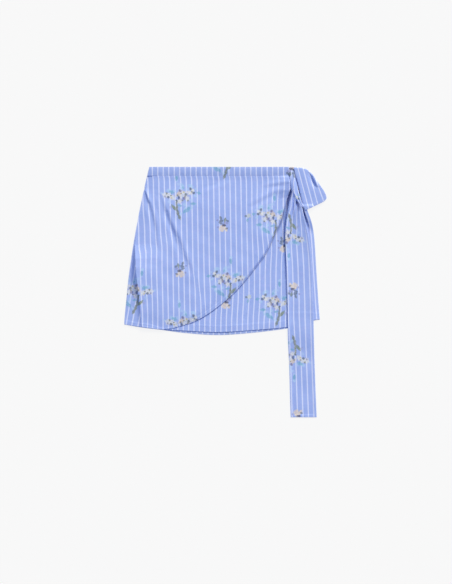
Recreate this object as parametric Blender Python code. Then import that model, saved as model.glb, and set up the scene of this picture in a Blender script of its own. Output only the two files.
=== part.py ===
"""A short wrap skirt of striped cotton, laid flat on its back with its sash knotted at the right hip.

The skirt lies in the XY plane: +X to the right, +Y towards the waist, +Z up off the surface.
The tables are in millimetres and scaled by MM, and the meshes are in metres. The origin is at the
bottom of the whole thing, in the middle of the rectangle that it covers.
"""

from collections import namedtuple

import bmesh
import bpy
import numpy as np

MM = 0.001

# Cloth
WALL = 1.0                  # thickness of a panel
BAND_WALL = 1.6             # the waistband on top is folded double
SEAM_GAP = 0.3              # between neighbouring pieces, and between layers
BACK_LEVEL = 0.0
UNDERLAP_LEVEL = BACK_LEVEL + WALL + SEAM_GAP
OVERLAP_LEVEL = UNDERLAP_LEVEL + WALL + SEAM_GAP

# Waist
WAIST = 312.5               # the waist's edge, along Y
BAND_WIDTH = 22.0
BAND_SEAM = WAIST - BAND_WIDTH
OVERLAP_BAND_END = 168.0    # where the top band goes in under the knot
UNDERLAP_EDGE_TOP = -150.0  # the hidden free edge of the underlap, at the waist and at the hem
UNDERLAP_EDGE_HEM = -196.0

# The two side seams: how far out each one lies at a height
Seam = namedtuple("Seam", "y left right")
SIDE_SEAMS = (
    Seam(312.5, -190.0, 171.0),
    Seam(262.0, -202.3, 185.3),
    Seam(206.0, -214.0, 203.8),
    Seam(171.0, -220.5, 215.6),
    Seam(130.0, -228.0, 222.0),
    Seam(50.0, -240.3, 227.0),
    Seam(-32.0, -248.8, 232.4),
    Seam(-68.0, -252.0, 235.0),
    Seam(-81.0, -252.5, 235.3),
)

# The hem: the front panels end a little above the back one
Hem = namedtuple("Hem", "x back front")
HEM = (
    Hem(-252.5, -81.0, -80.4),
    Hem(-206.0, -88.8, -87.7),
    Hem(-157.0, -94.7, -93.5),
    Hem(-100.0, -102.2, -97.4),
    Hem(-20.0, -107.2, -101.4),
    Hem(63.0, -102.0, -96.8),
    Hem(151.0, -91.2, -88.5),
    Hem(190.0, -81.5, -79.6),
    Hem(220.0, -71.3, -70.2),
    Hem(235.2, -68.8, -68.2),
)

# The overlap's curved free edge, from the waist seam round to the hem
Edge = namedtuple("Edge", "x y")
FREE_EDGE = (
    Edge(168.0, BAND_SEAM - SEAM_GAP),
    Edge(161.2, 255.0),
    Edge(150.0, 224.5),
    Edge(138.5, 183.0),
    Edge(121.3, 141.5),
    Edge(97.5, 92.0),
    Edge(64.0, 47.0),
    Edge(22.5, -1.0),
    Edge(-25.0, -41.0),
    Edge(-75.5, -72.5),
    Edge(-126.0, -88.4),
    Edge(-157.0, -93.5),
)

# How the overlap lies: a loft in its middle, cut by creases with a soft ridge beside each one
LOFT = 3.2
LOFT_EDGE_ACROSS = 0.14     # share of the panel over which the loft rises from an edge
LOFT_EDGE_DOWN = 0.10
SEAM_DROP_WIDTH = 26.0      # the overlap comes down to the back panel along the side seam
RIDGE_SHARE = 0.7           # a ridge's height to its crease's depth
RIDGE_REACH = 1.7           # a ridge's distance from the crease, in crease widths
Crease = namedtuple("Crease", "depth width ridge_side path")
CREASES = (
    # from the left hip, slanting down towards the middle of the hem
    Crease(3.2, 10.0, -1, ((-161, 233), (-131, 168), (-106, 100), (-86, 50), (-71, -20))),
    # from the nick in the side seam
    Crease(3.0, 8.0, 1, ((-205, 257), (-190, 218), (-182, 178), (-176, 80))),
    # the deep fold that turns the side of the panel under
    Crease(3.2, 9.0, 1, ((-230, 108), (-225, 60), (-216, -20), (-210, -92))),
    # short drag lines that run into the knot
    Crease(2.2, 7.0, 1, ((156, 262), (128, 256), (100, 234))),
    Crease(2.0, 8.0, 1, ((150, 238), (118, 220), (84, 180))),
)

# The long sash end: its top edge under the knot, and its two edges from there down to its foot
TAIL_TOP = ((166.5, 257.0), (175.0, 240.0), (184.0, 223.5), (192.2, 209.0))
TAIL_LEFT = (
    (166.5, 257.0), (159.6, 234.0), (154.7, 207.0), (148.2, 159.0), (147.6, 130.0), (151.0, 66.0),
    (155.2, -30.0), (156.4, -110.0), (160.0, -190.0), (162.2, -270.0), (163.6, -312.5),
)
TAIL_RIGHT = (
    (192.2, 209.0), (202.0, 176.0), (208.7, 137.0), (214.3, 85.0), (218.0, 5.0),
    (219.8, -95.0), (221.8, -170.0), (224.2, -238.0), (227.2, -312.5),
)
TAIL_LEVEL = OVERLAP_LEVEL
TAIL_CORNER = 5.0           # radius of its two sewn corners
TAIL_STEP_TOP = -96.0       # below the hem the sash comes down to the surface
TAIL_STEP_LENGTH = 34.0
Gather = namedtuple("Gather", "across width height reach")
TAIL_GATHERS = (
    Gather(0.12, 0.10, 2.0, 120.0),
    Gather(0.42, 0.12, 2.2, 85.0),
    Gather(0.72, 0.10, 1.6, 60.0),
)

# The folded wrap over the knot: its middle line, width, and the levels of its foot and its back
Wrap = namedtuple("Wrap", "x y width foot back")
WRAPS = (
    Wrap(163.0, 303.0, 7.0, 4.6, 7.0),
    Wrap(165.0, 291.0, 12.0, 4.8, 9.8),
    Wrap(168.2, 278.0, 15.0, 5.4, 12.4),
    Wrap(172.0, 262.0, 16.0, 6.2, 13.2),
    Wrap(177.4, 246.0, 15.5, 6.6, 13.0),
    Wrap(185.0, 228.0, 11.5, 6.4, 11.4),
    Wrap(193.2, 212.0, 4.5, 5.6, 7.8),
)
WRAP_SIDES = 14
WRAP_EDGE_SHARE = 0.35      # where a section is widest, from its foot up

# The short sash end: it comes up from under the knot, turns over and lies out to the right
END_TURN = ((171.5, 309.0), (182.0, 308.6), (192.0, 306.8), (202.0, 302.0), (213.6, 292.6))
END_OUTER = ((213.6, 292.6), (226.0, 275.0), (241.0, 254.0), (249.6, 242.0), (252.5, 235.2))
END_INNER = ((171.5, 309.0), (176.4, 283.0), (182.4, 252.0), (190.6, 222.0), (199.6, 206.6))
END_FOOT = ((199.6, 206.6), (218.0, 217.2), (231.0, 223.2), (245.0, 229.6), (252.5, 235.2))
END_ROOT = (178.0, 276.0)   # where its hidden layer goes in under the knot
END_ROOT_SHARE = 0.6        # how far that layer runs from the turn to the root
END_ROOT_FALL = 2.4         # and how far it sinks on the way
END_TURN_RADIUS = 2.0
END_LOFT = 3.4
END_TUCK = 3.2              # the layer that shows dips in under the knot along its inner edge
END_LEVELS = {              # middle of the wall at its four corners
    "turn_inner": 9.4,
    "turn_outer": 6.6,
    "foot_inner": 4.9,
    "foot_outer": 1.2,
}

# Fineness of the meshes
CURVE_STEPS = 24            # fine steps between two given points of a curve
SEAM_STEPS = 16
HEM_STEPS = 26
OVERLAP_ACROSS = 30
OVERLAP_DOWN = 28
TAIL_ACROSS = 12
TAIL_DOWN = 34
END_ACROSS = 10
END_DOWN = 10
END_TURN_STEPS = 5
END_UNDER_STEPS = 3

# Finishes: red, green, blue and roughness
Finish = namedtuple("Finish", "red green blue roughness")
STRIPED_COTTON = Finish(0.38, 0.48, 0.85, 0.85)
SASH_COTTON = Finish(0.40, 0.50, 0.87, 0.85)


def clear_scene():
    for old in list(bpy.data.objects):
        bpy.data.objects.remove(old, do_unlink=True)


def finish_material(name, finish):
    material = bpy.data.materials.new(name)
    material.use_nodes = True
    shader = material.node_tree.nodes["Principled BSDF"]
    shader.inputs["Base Color"].default_value = (finish.red, finish.green, finish.blue, 1.0)
    shader.inputs["Roughness"].default_value = finish.roughness
    shader.inputs["Metallic"].default_value = 0.0
    return material


def smooth_step(value):
    value = np.clip(value, 0.0, 1.0)
    return value * value * (3.0 - 2.0 * value)


def smooth_curve(points, count):
    """Return count + 1 evenly spaced points of a smooth curve through the given ones."""
    knots = np.array(points, dtype=float)
    before = 2 * knots[0] - knots[1]
    after = 2 * knots[-1] - knots[-2]
    padded = np.vstack([before, knots, after])
    share = np.linspace(0.0, 1.0, CURVE_STEPS, endpoint=False)[:, None]
    spans = []
    for p0, p1, p2, p3 in zip(padded, padded[1:], padded[2:], padded[3:]):
        slope = p2 - p0
        bend = 2 * p0 - 5 * p1 + 4 * p2 - p3
        twist = 3 * p1 - p0 - 3 * p2 + p3
        spans.append(0.5 * (2 * p1 + slope * share + bend * share**2 + twist * share**3))
    fine = np.vstack(spans + [knots[-1:]])
    steps = np.linalg.norm(np.diff(fine, axis=0), axis=1)
    along = np.concatenate([[0.0], np.cumsum(steps)])
    wanted = np.linspace(0.0, along[-1], count + 1)
    return np.column_stack([np.interp(wanted, along, column) for column in fine.T])


def seam_curve(side, top, bottom, count):
    """Points down a side seam between two heights; side is "left" or "right"."""
    whole = smooth_curve([(getattr(row, side), row.y) for row in SIDE_SEAMS], 20 * SEAM_STEPS)
    heights = np.linspace(top, bottom, count + 1)
    across = np.interp(-heights, -whole[:, 1], whole[:, 0])
    return np.column_stack([across, heights])


def hem_curve(layer, start, end, count):
    """Points along the hem between two places across; layer is "back" or "front"."""
    whole = smooth_curve([(row.x, getattr(row, layer)) for row in HEM], 20 * HEM_STEPS)
    across = np.linspace(start, end, count + 1)
    heights = np.interp(across, whole[:, 0], whole[:, 1])
    return np.column_stack([across, heights])


def patch(left, right, top, bottom):
    """Fill four edge curves with a grid of points: rows run down, columns run across."""
    down = np.linspace(0.0, 1.0, len(left))[:, None, None]
    across = np.linspace(0.0, 1.0, len(top))[None, :, None]
    sides = (1 - across) * left[:, None] + across * right[:, None]
    ends = (1 - down) * top[None, :] + down * bottom[None, :]
    corners = (
        (1 - down) * (1 - across) * top[0] + (1 - down) * across * top[-1]
        + down * (1 - across) * bottom[0] + down * across * bottom[-1]
    )
    return sides + ends - corners


def distance_to_path(points, path, count=40):
    """Signed distance of each point to a path, and how far along it (0 to 1) the nearest place is."""
    route = smooth_curve(path, count)
    offset = points[..., None, :] - route
    gaps = np.linalg.norm(offset, axis=-1)
    nearest = gaps.argmin(axis=-1)
    heading = np.gradient(route, axis=0)
    turn = heading[nearest]
    reach = np.take_along_axis(offset, nearest[..., None, None], axis=-2)[..., 0, :]
    side = np.sign(turn[..., 0] * reach[..., 1] - turn[..., 1] * reach[..., 0])
    return side * gaps.min(axis=-1), nearest / count


def crease_relief(points, creases):
    """Height that the creases add to a sheet: a trough along each, and a ridge on one side."""
    height = np.zeros(points.shape[:-1])
    for crease in creases:
        gap, along = distance_to_path(points, crease.path)
        strength = crease.depth * np.sin(np.pi * np.clip(0.12 + 0.88 * along, 0, 1)) ** 0.6
        ridge_gap = gap - crease.ridge_side * RIDGE_REACH * crease.width
        height -= strength * np.exp(-((gap / crease.width) ** 2))
        height += RIDGE_SHARE * strength * np.exp(-((ridge_gap / crease.width) ** 2))
    return height


def add_object(name, vertices, faces, finish):
    """Make one named object from millimetre points, with its faces turned outwards."""
    mesh = bpy.data.meshes.new(name)
    mesh.from_pydata([tuple(point * MM) for point in vertices], [], faces)
    shape = bmesh.new()
    shape.from_mesh(mesh)
    bmesh.ops.recalc_face_normals(shape, faces=shape.faces)
    bmesh.ops.triangulate(shape, faces=shape.faces)
    shape.to_mesh(mesh)
    shape.free()
    mesh.materials.append(finish_material(name, finish))
    piece = bpy.data.objects.new(name, mesh)
    bpy.context.scene.collection.objects.link(piece)
    return piece


def flat_piece(name, outline, level, thickness, finish):
    """A flat sheet: an outline in the plane, raised to a level and given a thickness."""
    count = len(outline)
    lower = np.column_stack([outline, np.full(count, level)])
    upper = np.column_stack([outline, np.full(count, level + thickness)])
    faces = [tuple(range(count)), tuple(range(2 * count - 1, count - 1, -1))]
    for index in range(count):
        following = (index + 1) % count
        faces.append((index, following, following + count, index + count))
    return add_object(name, np.vstack([lower, upper]), faces, finish)


def shell_piece(name, under, over, finish):
    """A closed sheet between two grids of points, its underside and its top."""
    rows, columns = under.shape[:2]
    size = rows * columns

    def corner(row, column, layer):
        return layer * size + row * columns + column

    faces = []
    for row in range(rows - 1):
        for column in range(columns - 1):
            for layer in (0, 1):
                faces.append((
                    corner(row, column, layer), corner(row, column + 1, layer),
                    corner(row + 1, column + 1, layer), corner(row + 1, column, layer),
                ))
    border = [(0, column) for column in range(columns - 1)]
    border += [(row, columns - 1) for row in range(rows - 1)]
    border += [(rows - 1, column) for column in range(columns - 1, 0, -1)]
    border += [(row, 0) for row in range(rows - 1, 0, -1)]
    for here, there in zip(border, border[1:] + border[:1]):
        faces.append((corner(*here, 0), corner(*there, 0), corner(*there, 1), corner(*here, 1)))
    points = np.vstack([under.reshape(size, 3), over.reshape(size, 3)])
    return add_object(name, points, faces, finish)


def laid_sheet(name, grid, level, thickness, finish):
    """A sheet that lies on something: its underside at the given level over each grid point."""
    under = np.dstack([grid, level])
    over = np.dstack([grid, level + thickness])
    return shell_piece(name, under, over, finish)


def grid_normals(grid):
    down = np.gradient(grid, axis=0)
    across = np.gradient(grid, axis=1)
    normals = np.cross(across, down)
    return normals / np.linalg.norm(normals, axis=-1, keepdims=True)


def make_back_panel():
    top = BAND_SEAM - SEAM_GAP
    left = seam_curve("left", top, HEM[0].back, SEAM_STEPS)
    right = seam_curve("right", top, HEM[-1].back, SEAM_STEPS)
    hem = hem_curve("back", left[-1, 0], right[-1, 0], HEM_STEPS)
    outline = np.vstack([left[:-1], hem, right[-2::-1]])
    return flat_piece("back_panel", outline, BACK_LEVEL, WALL, STRIPED_COTTON)


def make_front_underlap():
    top = BAND_SEAM - SEAM_GAP
    right = seam_curve("right", top, HEM[-1].front, SEAM_STEPS)
    hem = hem_curve("front", UNDERLAP_EDGE_HEM, right[-1, 0], HEM_STEPS)
    corner = np.array([[UNDERLAP_EDGE_TOP, top]])
    outline = np.vstack([corner, hem, right[-2::-1]])
    return flat_piece("front_underlap", outline, UNDERLAP_LEVEL, WALL, STRIPED_COTTON)


def overlap_grid(across, down):
    """The overlap's points in the plane, from the waist seam down and from the side seam out."""
    left = seam_curve("left", BAND_SEAM - SEAM_GAP, HEM[0].front, down)
    right = smooth_curve(FREE_EDGE, down)
    top = np.linspace(left[0], right[0], across + 1)
    bottom = hem_curve("front", left[-1, 0], right[-1, 0], across)
    return patch(left, right, top, bottom)


def overlap_level(grid):
    """Height of the overlap's underside: on the underlap, with its loft, creases and ridges."""
    rows, columns = grid.shape[:2]
    down = np.linspace(0.0, 1.0, rows)[:, None]
    across = np.linspace(0.0, 1.0, columns)[None, :]
    rise = smooth_step(across / LOFT_EDGE_ACROSS) * smooth_step((1 - across) / LOFT_EDGE_ACROSS)
    rise = rise * smooth_step(down / LOFT_EDGE_DOWN) * smooth_step((1 - down) / LOFT_EDGE_DOWN)
    raised = np.maximum(LOFT * rise + crease_relief(grid, CREASES) * np.minimum(1, 1.4 * rise + 0.1), 0.0)
    from_seam = np.linalg.norm(grid - grid[:, :1], axis=-1)
    drop = (OVERLAP_LEVEL - UNDERLAP_LEVEL) * (1 - smooth_step(from_seam / SEAM_DROP_WIDTH))
    return OVERLAP_LEVEL + raised - drop


def make_front_overlap():
    grid = overlap_grid(OVERLAP_ACROSS, OVERLAP_DOWN)
    return laid_sheet("front_overlap", grid, overlap_level(grid), WALL, STRIPED_COTTON)


def make_waistband(name, level, thickness, start, end):
    """A straight strip along the waist; start and end give its ends at the seam and at the top."""
    outline = np.array([
        (start[0], BAND_SEAM), (end[0], BAND_SEAM), (end[1], WAIST), (start[1], WAIST),
    ])
    return flat_piece(name, outline, level, thickness, STRIPED_COTTON)


def make_waistbands():
    left = seam_curve("left", BAND_SEAM, WAIST, 1)[:, 0]
    right = seam_curve("right", BAND_SEAM, WAIST, 1)[:, 0]
    hidden_edge = (UNDERLAP_EDGE_TOP, UNDERLAP_EDGE_TOP)
    knot_edge = (OVERLAP_BAND_END, OVERLAP_BAND_END)
    make_waistband("waistband_back", BACK_LEVEL, WALL, left, right)
    make_waistband("waistband_underlap", UNDERLAP_LEVEL, WALL, hidden_edge, right)
    make_waistband("waistband_overlap", OVERLAP_LEVEL, BAND_WALL, left, knot_edge)


def tail_grid(across, down):
    left = smooth_curve(TAIL_LEFT, down)
    right = smooth_curve(TAIL_RIGHT, down)
    top = smooth_curve(TAIL_TOP, across)
    bottom = np.linspace(left[-1], right[-1], across + 1)
    grid = patch(left, right, top, bottom)
    for side, centre in ((0, left[-1, 0] + TAIL_CORNER), (-1, right[-1, 0] - TAIL_CORNER)):
        inset = TAIL_CORNER * (1 - np.sqrt(0.5))
        grid[-1, side, 1] += inset
        grid[-1, side, 0] += inset * np.sign(centre - grid[-1, side, 0])
    return grid


def tail_level(grid):
    """Height of the sash's underside: gathered at the knot, on the skirt, then on the surface."""
    across = np.linspace(0.0, 1.0, grid.shape[1])[None, :]
    below_knot = np.maximum(grid[:1, :, 1] - grid[..., 1], 0.0)
    height = np.zeros(grid.shape[:2])
    for gather in TAIL_GATHERS:
        fade = 1 - smooth_step(below_knot / gather.reach)
        height += gather.height * fade * np.exp(-(((across - gather.across) / gather.width) ** 2))
    step = smooth_step((TAIL_STEP_TOP - grid[..., 1]) / TAIL_STEP_LENGTH)
    return TAIL_LEVEL * (1 - step) + height


def make_tie_tail():
    grid = tail_grid(TAIL_ACROSS, TAIL_DOWN)
    return laid_sheet("tie_tail", grid, tail_level(grid), WALL, SASH_COTTON)


def make_tie_knot():
    """The wrap: rounded sections set across its middle line and joined into one closed solid."""
    middle = np.array([(row.x, row.y) for row in WRAPS])
    heading = np.gradient(middle, axis=0)
    heading = heading / np.linalg.norm(heading, axis=1, keepdims=True)
    sideways = np.column_stack([heading[:, 1], -heading[:, 0]])
    vertices = []
    for row, place, side in zip(WRAPS, middle, sideways):
        for step in range(WRAP_SIDES):
            angle = 2 * np.pi * step / WRAP_SIDES
            out = 0.5 * row.width * np.cos(angle)
            swell = 1 - WRAP_EDGE_SHARE if np.sin(angle) > 0 else WRAP_EDGE_SHARE
            share = WRAP_EDGE_SHARE + swell * np.sin(angle)
            height = row.foot + share * (row.back - row.foot)
            vertices.append((*(place + out * side), height))
    faces = [tuple(range(WRAP_SIDES))]
    faces.append(tuple(range(len(vertices) - WRAP_SIDES, len(vertices))))
    for ring in range(len(WRAPS) - 1):
        for step in range(WRAP_SIDES):
            here = ring * WRAP_SIDES + step
            beside = ring * WRAP_SIDES + (step + 1) % WRAP_SIDES
            faces.append((here, beside, beside + WRAP_SIDES, here + WRAP_SIDES))
    return add_object("tie_knot", np.array(vertices), faces, SASH_COTTON)


def end_middle_surface():
    """Middle of the short end's wall: its hidden layer, the turn, then the layer that shows."""
    left = smooth_curve(END_INNER, END_DOWN)
    right = smooth_curve(END_OUTER, END_DOWN)
    top = smooth_curve(END_TURN, END_ACROSS)
    bottom = smooth_curve(END_FOOT, END_ACROSS)
    shown = patch(left, right, top, bottom)
    down = np.linspace(0.0, 1.0, END_DOWN + 1)[:, None]
    across = np.linspace(0.0, 1.0, END_ACROSS + 1)[None, :]
    corners = END_LEVELS
    level = (1 - down) * ((1 - across) * corners["turn_inner"] + across * corners["turn_outer"])
    level = level + down * ((1 - across) * corners["foot_inner"] + across * corners["foot_outer"])
    middle = np.sin(np.pi * down) ** 0.8
    level = level + middle * (END_LOFT * np.sin(np.pi * across) - END_TUCK * (1 - across) ** 4)
    shown = np.dstack([shown, level])

    turn_line = shown[0]
    inward = shown[1, :, :2] - shown[0, :, :2]
    inward = inward / np.linalg.norm(inward, axis=1, keepdims=True)
    turn = []
    for angle in np.linspace(np.pi, 0, END_TURN_STEPS, endpoint=False):
        out = END_TURN_RADIUS * np.sin(angle)
        drop = END_TURN_RADIUS * (1 - np.cos(angle))
        turn.append(np.column_stack([turn_line[:, :2] - out * inward, turn_line[:, 2] - drop]))
    hidden = []
    for step in range(END_UNDER_STEPS, 0, -1):
        share = step / END_UNDER_STEPS
        place = turn_line[:, :2] + share * END_ROOT_SHARE * (np.array(END_ROOT) - turn_line[:, :2])
        drop = 2 * END_TURN_RADIUS + share * END_ROOT_FALL
        hidden.append(np.column_stack([place, turn_line[:, 2] - drop]))
    return np.stack(hidden + turn + list(shown))


def make_tie_end():
    middle = end_middle_surface()
    offset = 0.5 * WALL * grid_normals(middle)
    return shell_piece("tie_end", middle - offset, middle + offset, SASH_COTTON)


def main():
    clear_scene()
    make_back_panel()
    make_front_underlap()
    make_front_overlap()
    make_waistbands()
    make_tie_tail()
    make_tie_knot()
    make_tie_end()


main()
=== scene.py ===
# %% [markdown]
# # A short wrap skirt of striped, printed cotton, laid flat
#
# The real skirt is sewn from a back panel, two front panels that cross over each other, a waistband in
# three stretches, and a long sash that is knotted at the right hip. It lies on its back on a pale table.
#
# The plain solids of the skirt come first, as a fixed frame. Every piece below is then made again as
# real cloth: a thin closed sheet with hems, creases, stitches, stripes and print, in the same place.
# That way the looks can be as fine as they need to be, and the size of the thing never changes.

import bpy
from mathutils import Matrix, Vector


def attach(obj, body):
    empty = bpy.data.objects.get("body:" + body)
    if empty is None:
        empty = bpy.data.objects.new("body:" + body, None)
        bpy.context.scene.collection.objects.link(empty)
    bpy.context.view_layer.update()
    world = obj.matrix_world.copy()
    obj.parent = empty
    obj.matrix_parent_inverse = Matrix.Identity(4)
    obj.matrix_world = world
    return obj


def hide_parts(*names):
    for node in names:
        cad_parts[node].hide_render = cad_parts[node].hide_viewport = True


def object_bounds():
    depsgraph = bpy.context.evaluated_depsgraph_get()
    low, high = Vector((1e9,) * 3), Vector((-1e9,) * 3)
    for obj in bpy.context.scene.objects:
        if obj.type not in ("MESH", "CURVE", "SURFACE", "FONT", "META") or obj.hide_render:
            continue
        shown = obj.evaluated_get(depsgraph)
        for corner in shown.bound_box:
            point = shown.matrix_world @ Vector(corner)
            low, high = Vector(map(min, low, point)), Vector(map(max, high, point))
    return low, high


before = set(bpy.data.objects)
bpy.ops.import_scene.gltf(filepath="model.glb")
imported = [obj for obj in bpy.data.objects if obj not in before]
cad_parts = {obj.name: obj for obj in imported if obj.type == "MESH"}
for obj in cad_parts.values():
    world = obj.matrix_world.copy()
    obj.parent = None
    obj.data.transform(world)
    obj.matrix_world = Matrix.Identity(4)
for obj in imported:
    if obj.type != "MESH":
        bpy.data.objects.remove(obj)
cad_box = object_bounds()
print("solids in the frame:", ", ".join(sorted(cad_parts)))

# %% [markdown]
# ## Tools and units
#
# The lists below are in millimetres, as a pattern maker would write them, and Blender works in metres.
# Points are kept in numpy arrays, because a whole sheet of cloth can then be bent in one line.

# %% Tools and units
from collections import namedtuple

import bpy
import numpy as np
from mathutils import Vector

MM = 0.001                      # the tables below are in millimetres, Blender works in metres
FRONT_WIDTH = (cad_box[1].x - cad_box[0].x) / MM
print(f"the laid skirt is {FRONT_WIDTH:.0f} mm across")

# %% [markdown]
# ## Camera
#
# The skirt is seen from straight above. A long lens far away keeps the flat cloth free of perspective,
# which could also be had with an orthographic camera, but a real picture is never quite that.

# %% Set up the camera
LENS = 200.0
SENSOR = 36.0                   # the longer side of the picture
PICTURE_HEIGHT = 1.46           # metres of table from the top of the picture to its foot
CAMERA_SIDE = 0.00125

camera_data = bpy.data.cameras.new("camera")
camera_data.lens = LENS
camera_data.sensor_width = SENSOR
camera = bpy.data.objects.new("camera", camera_data)
camera.location = (CAMERA_SIDE, 0.0, PICTURE_HEIGHT * LENS / SENSOR)
bpy.context.scene.collection.objects.link(camera)
bpy.context.scene.camera = camera
print(f"camera {camera.location.z:.2f} m above the table")

# %% [markdown]
# ## Table and light
#
# Cloth is best judged on a pale table under one large, low lamp that stands beyond its top edge, a little
# to the right, so that every fold shows. A sun lamp with a wide angle acts like a big soft box far away:
# it lights the whole table evenly, and its shadows have soft edges. A pale blue world fills them in. The
# table glows a little, as a light table does, which keeps it clean and pale right up to the cloth.

# %% Make the table and the lights
TABLE_SIZE = 8.0
TABLE_DROP = 0.0003             # the table is a hair below the cloth
TABLE_WHITE = 0.08
TABLE_GLOW = 0.86
SKY_STRENGTH = 0.42
SKY_COLOUR = (0.74, 0.89, 1.28, 1.0)
LAMP_STRENGTH = 3.60
LAMP_COLOUR = (1.17, 1.06, 0.79)
LAMP_TOWARD = (0.36, 0.815, 0.48)
LAMP_SPREAD = 20


def new_material(name):
    """A fresh material, its node tree and its shader."""
    material = bpy.data.materials.new(name)
    material.use_nodes = True
    return material, material.node_tree, material.node_tree.nodes["Principled BSDF"]


def set_inputs(node, values):
    for socket, value in values.items():
        node.inputs[socket].default_value = value


def make_table():
    half = TABLE_SIZE / 2
    mesh = bpy.data.meshes.new("table")
    corners = [(-half, -half), (half, -half), (half, half), (-half, half)]
    mesh.from_pydata([(x, y, -TABLE_DROP) for x, y in corners], [], [(0, 1, 2, 3)])
    material, _, shader = new_material("pale_table")
    set_inputs(shader, {
        "Base Color": (TABLE_WHITE, TABLE_WHITE, TABLE_WHITE, 1.0), "Roughness": 0.9,
        "Specular IOR Level": 0.1, "Emission Color": (1.0, 1.0, 1.0, 1.0), "Emission Strength": TABLE_GLOW,
    })
    mesh.materials.append(material)
    table = bpy.data.objects.new("table", mesh)
    bpy.context.scene.collection.objects.link(table)


def make_lights():
    sky = bpy.data.worlds.new("white_room")
    sky.use_nodes = True
    set_inputs(sky.node_tree.nodes["Background"], {"Color": SKY_COLOUR, "Strength": SKY_STRENGTH})
    bpy.context.scene.world = sky
    lamp_data = bpy.data.lights.new("soft_lamp", "SUN")
    lamp_data.energy = LAMP_STRENGTH
    lamp_data.color = LAMP_COLOUR
    lamp_data.angle = np.radians(LAMP_SPREAD)
    lamp = bpy.data.objects.new("soft_lamp", lamp_data)
    lamp.rotation_euler = Vector(LAMP_TOWARD).to_track_quat("Z", "Y").to_euler()
    bpy.context.scene.collection.objects.link(lamp)


make_table()
make_lights()
bpy.context.scene.view_settings.view_transform = "Standard"
print("table and lights are set")

# %% [markdown]
# ## Curves
#
# A sewing pattern is made of a few smooth lines. Each one is given here by a short list of points, and a
# smooth curve is drawn through them. It can be read at uneven steps, so that there are many points near
# a hem or a fold and few where the cloth is plain.

# %% Helpers for curves
CURVE_STEPS = 24


def smooth_step(value):
    value = np.clip(value, 0.0, 1.0)
    return value * value * (3.0 - 2.0 * value)


def bell(value):
    return np.exp(-value * value)


def smooth_curve(points, shares):
    """Points of a smooth curve through the given ones, at shares (0 to 1) of its length."""
    knots = np.array(points, dtype=float)
    padded = np.vstack([2 * knots[0] - knots[1], knots, 2 * knots[-1] - knots[-2]])
    share = np.linspace(0.0, 1.0, CURVE_STEPS, endpoint=False)[:, None]
    spans = []
    for p0, p1, p2, p3 in zip(padded, padded[1:], padded[2:], padded[3:]):
        slope = p2 - p0
        bend = 2 * p0 - 5 * p1 + 4 * p2 - p3
        twist = 3 * p1 - p0 - 3 * p2 + p3
        spans.append(0.5 * (2 * p1 + slope * share + bend * share**2 + twist * share**3))
    fine = np.vstack(spans + [knots[-1:]])
    along = np.concatenate([[0.0], np.cumsum(np.linalg.norm(np.diff(fine, axis=0), axis=1))])
    wanted = np.asarray(shares) * along[-1]
    return np.column_stack([np.interp(wanted, along, column) for column in fine.T])


def bunched(count, start=0.0, end=0.0, reach=0.05):
    """Shares from 0 to 1 in count steps, that many times closer together at the start and the end."""
    middle = (np.arange(count) + 0.5) / count
    crowd = 1 + start * np.exp(-middle / reach) + end * np.exp(-(1 - middle) / reach)
    steps = np.concatenate([[0.0], np.cumsum(1 / crowd)])
    return steps / steps[-1]


print("a bunched row:", np.round(bunched(8, 3, 0, 0.3), 3))

# %% [markdown]
# ## Nets of points
#
# Four curves round a piece are filled with a grid of points, as one would stretch a net over a frame. A
# plain rectangle bent to shape would do as well, but its edges would never follow the pattern exactly.
# The helpers below measure such a net: how far a point is from a border, or from a fold drawn on it.

# %% Helpers for nets of points
def patch(left, right, top, bottom, down, across):
    """Fill four edge curves with a grid of points: rows run down, columns run across."""
    down = down[:, None, None]
    across = across[None, :, None]
    sides = (1 - across) * left[:, None] + across * right[:, None]
    ends = (1 - down) * top[None, :] + down * bottom[None, :]
    corners = (
        (1 - down) * (1 - across) * top[0] + (1 - down) * across * top[-1]
        + down * (1 - across) * bottom[0] + down * across * bottom[-1]
    )
    return sides + ends - corners


def lengths_across(grid):
    """How far each point of a grid is from the first one in its row."""
    steps = np.linalg.norm(np.diff(grid, axis=1), axis=2)
    return np.concatenate([np.zeros((len(grid), 1)), np.cumsum(steps, axis=1)], axis=1)


def lengths_down(grid):
    return lengths_across(grid.transpose(1, 0, 2)).T


def lengths_from_right(grid):
    return lengths_across(grid[:, ::-1])[:, ::-1]


def lengths_from_foot(grid):
    return lengths_down(grid[::-1])[::-1]


def look_up(value, table, column=1):
    """Read a column of a table at a value of its first column, whichever way the table is sorted."""
    rows = np.array(sorted(table))
    return np.interp(value, rows[:, 0], rows[:, column])


def distance_to_path(points, path, count=48):
    """Signed distance of each point to a path, and how far along it (0 to 1) the nearest place is."""
    route = smooth_curve(path, np.linspace(0.0, 1.0, count + 1))
    heading = np.gradient(route, axis=0)
    offset = points[..., None, :] - route
    gaps = np.linalg.norm(offset, axis=-1)
    nearest = gaps.argmin(axis=-1)
    reach = np.take_along_axis(offset, nearest[..., None, None], axis=-2)[..., 0, :]
    turn = heading[nearest]
    side = np.sign(turn[..., 0] * reach[..., 1] - turn[..., 1] * reach[..., 0])
    return side * gaps.min(axis=-1), nearest / count


small_net = np.dstack(np.meshgrid([0.0, 1.0, 3.0], [0.0, 2.0]))
print("lengths across a small net:", lengths_across(small_net)[0])

# %% [markdown]
# ## The outlines
#
# These are the lines along which the skirt was cut and sewn: its two side seams, its hems and the long
# curved edge of the top front panel. They are the same ones that the solids were made from. A small nick
# in the left side seam is where the cloth has been pulled into a crease.

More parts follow.
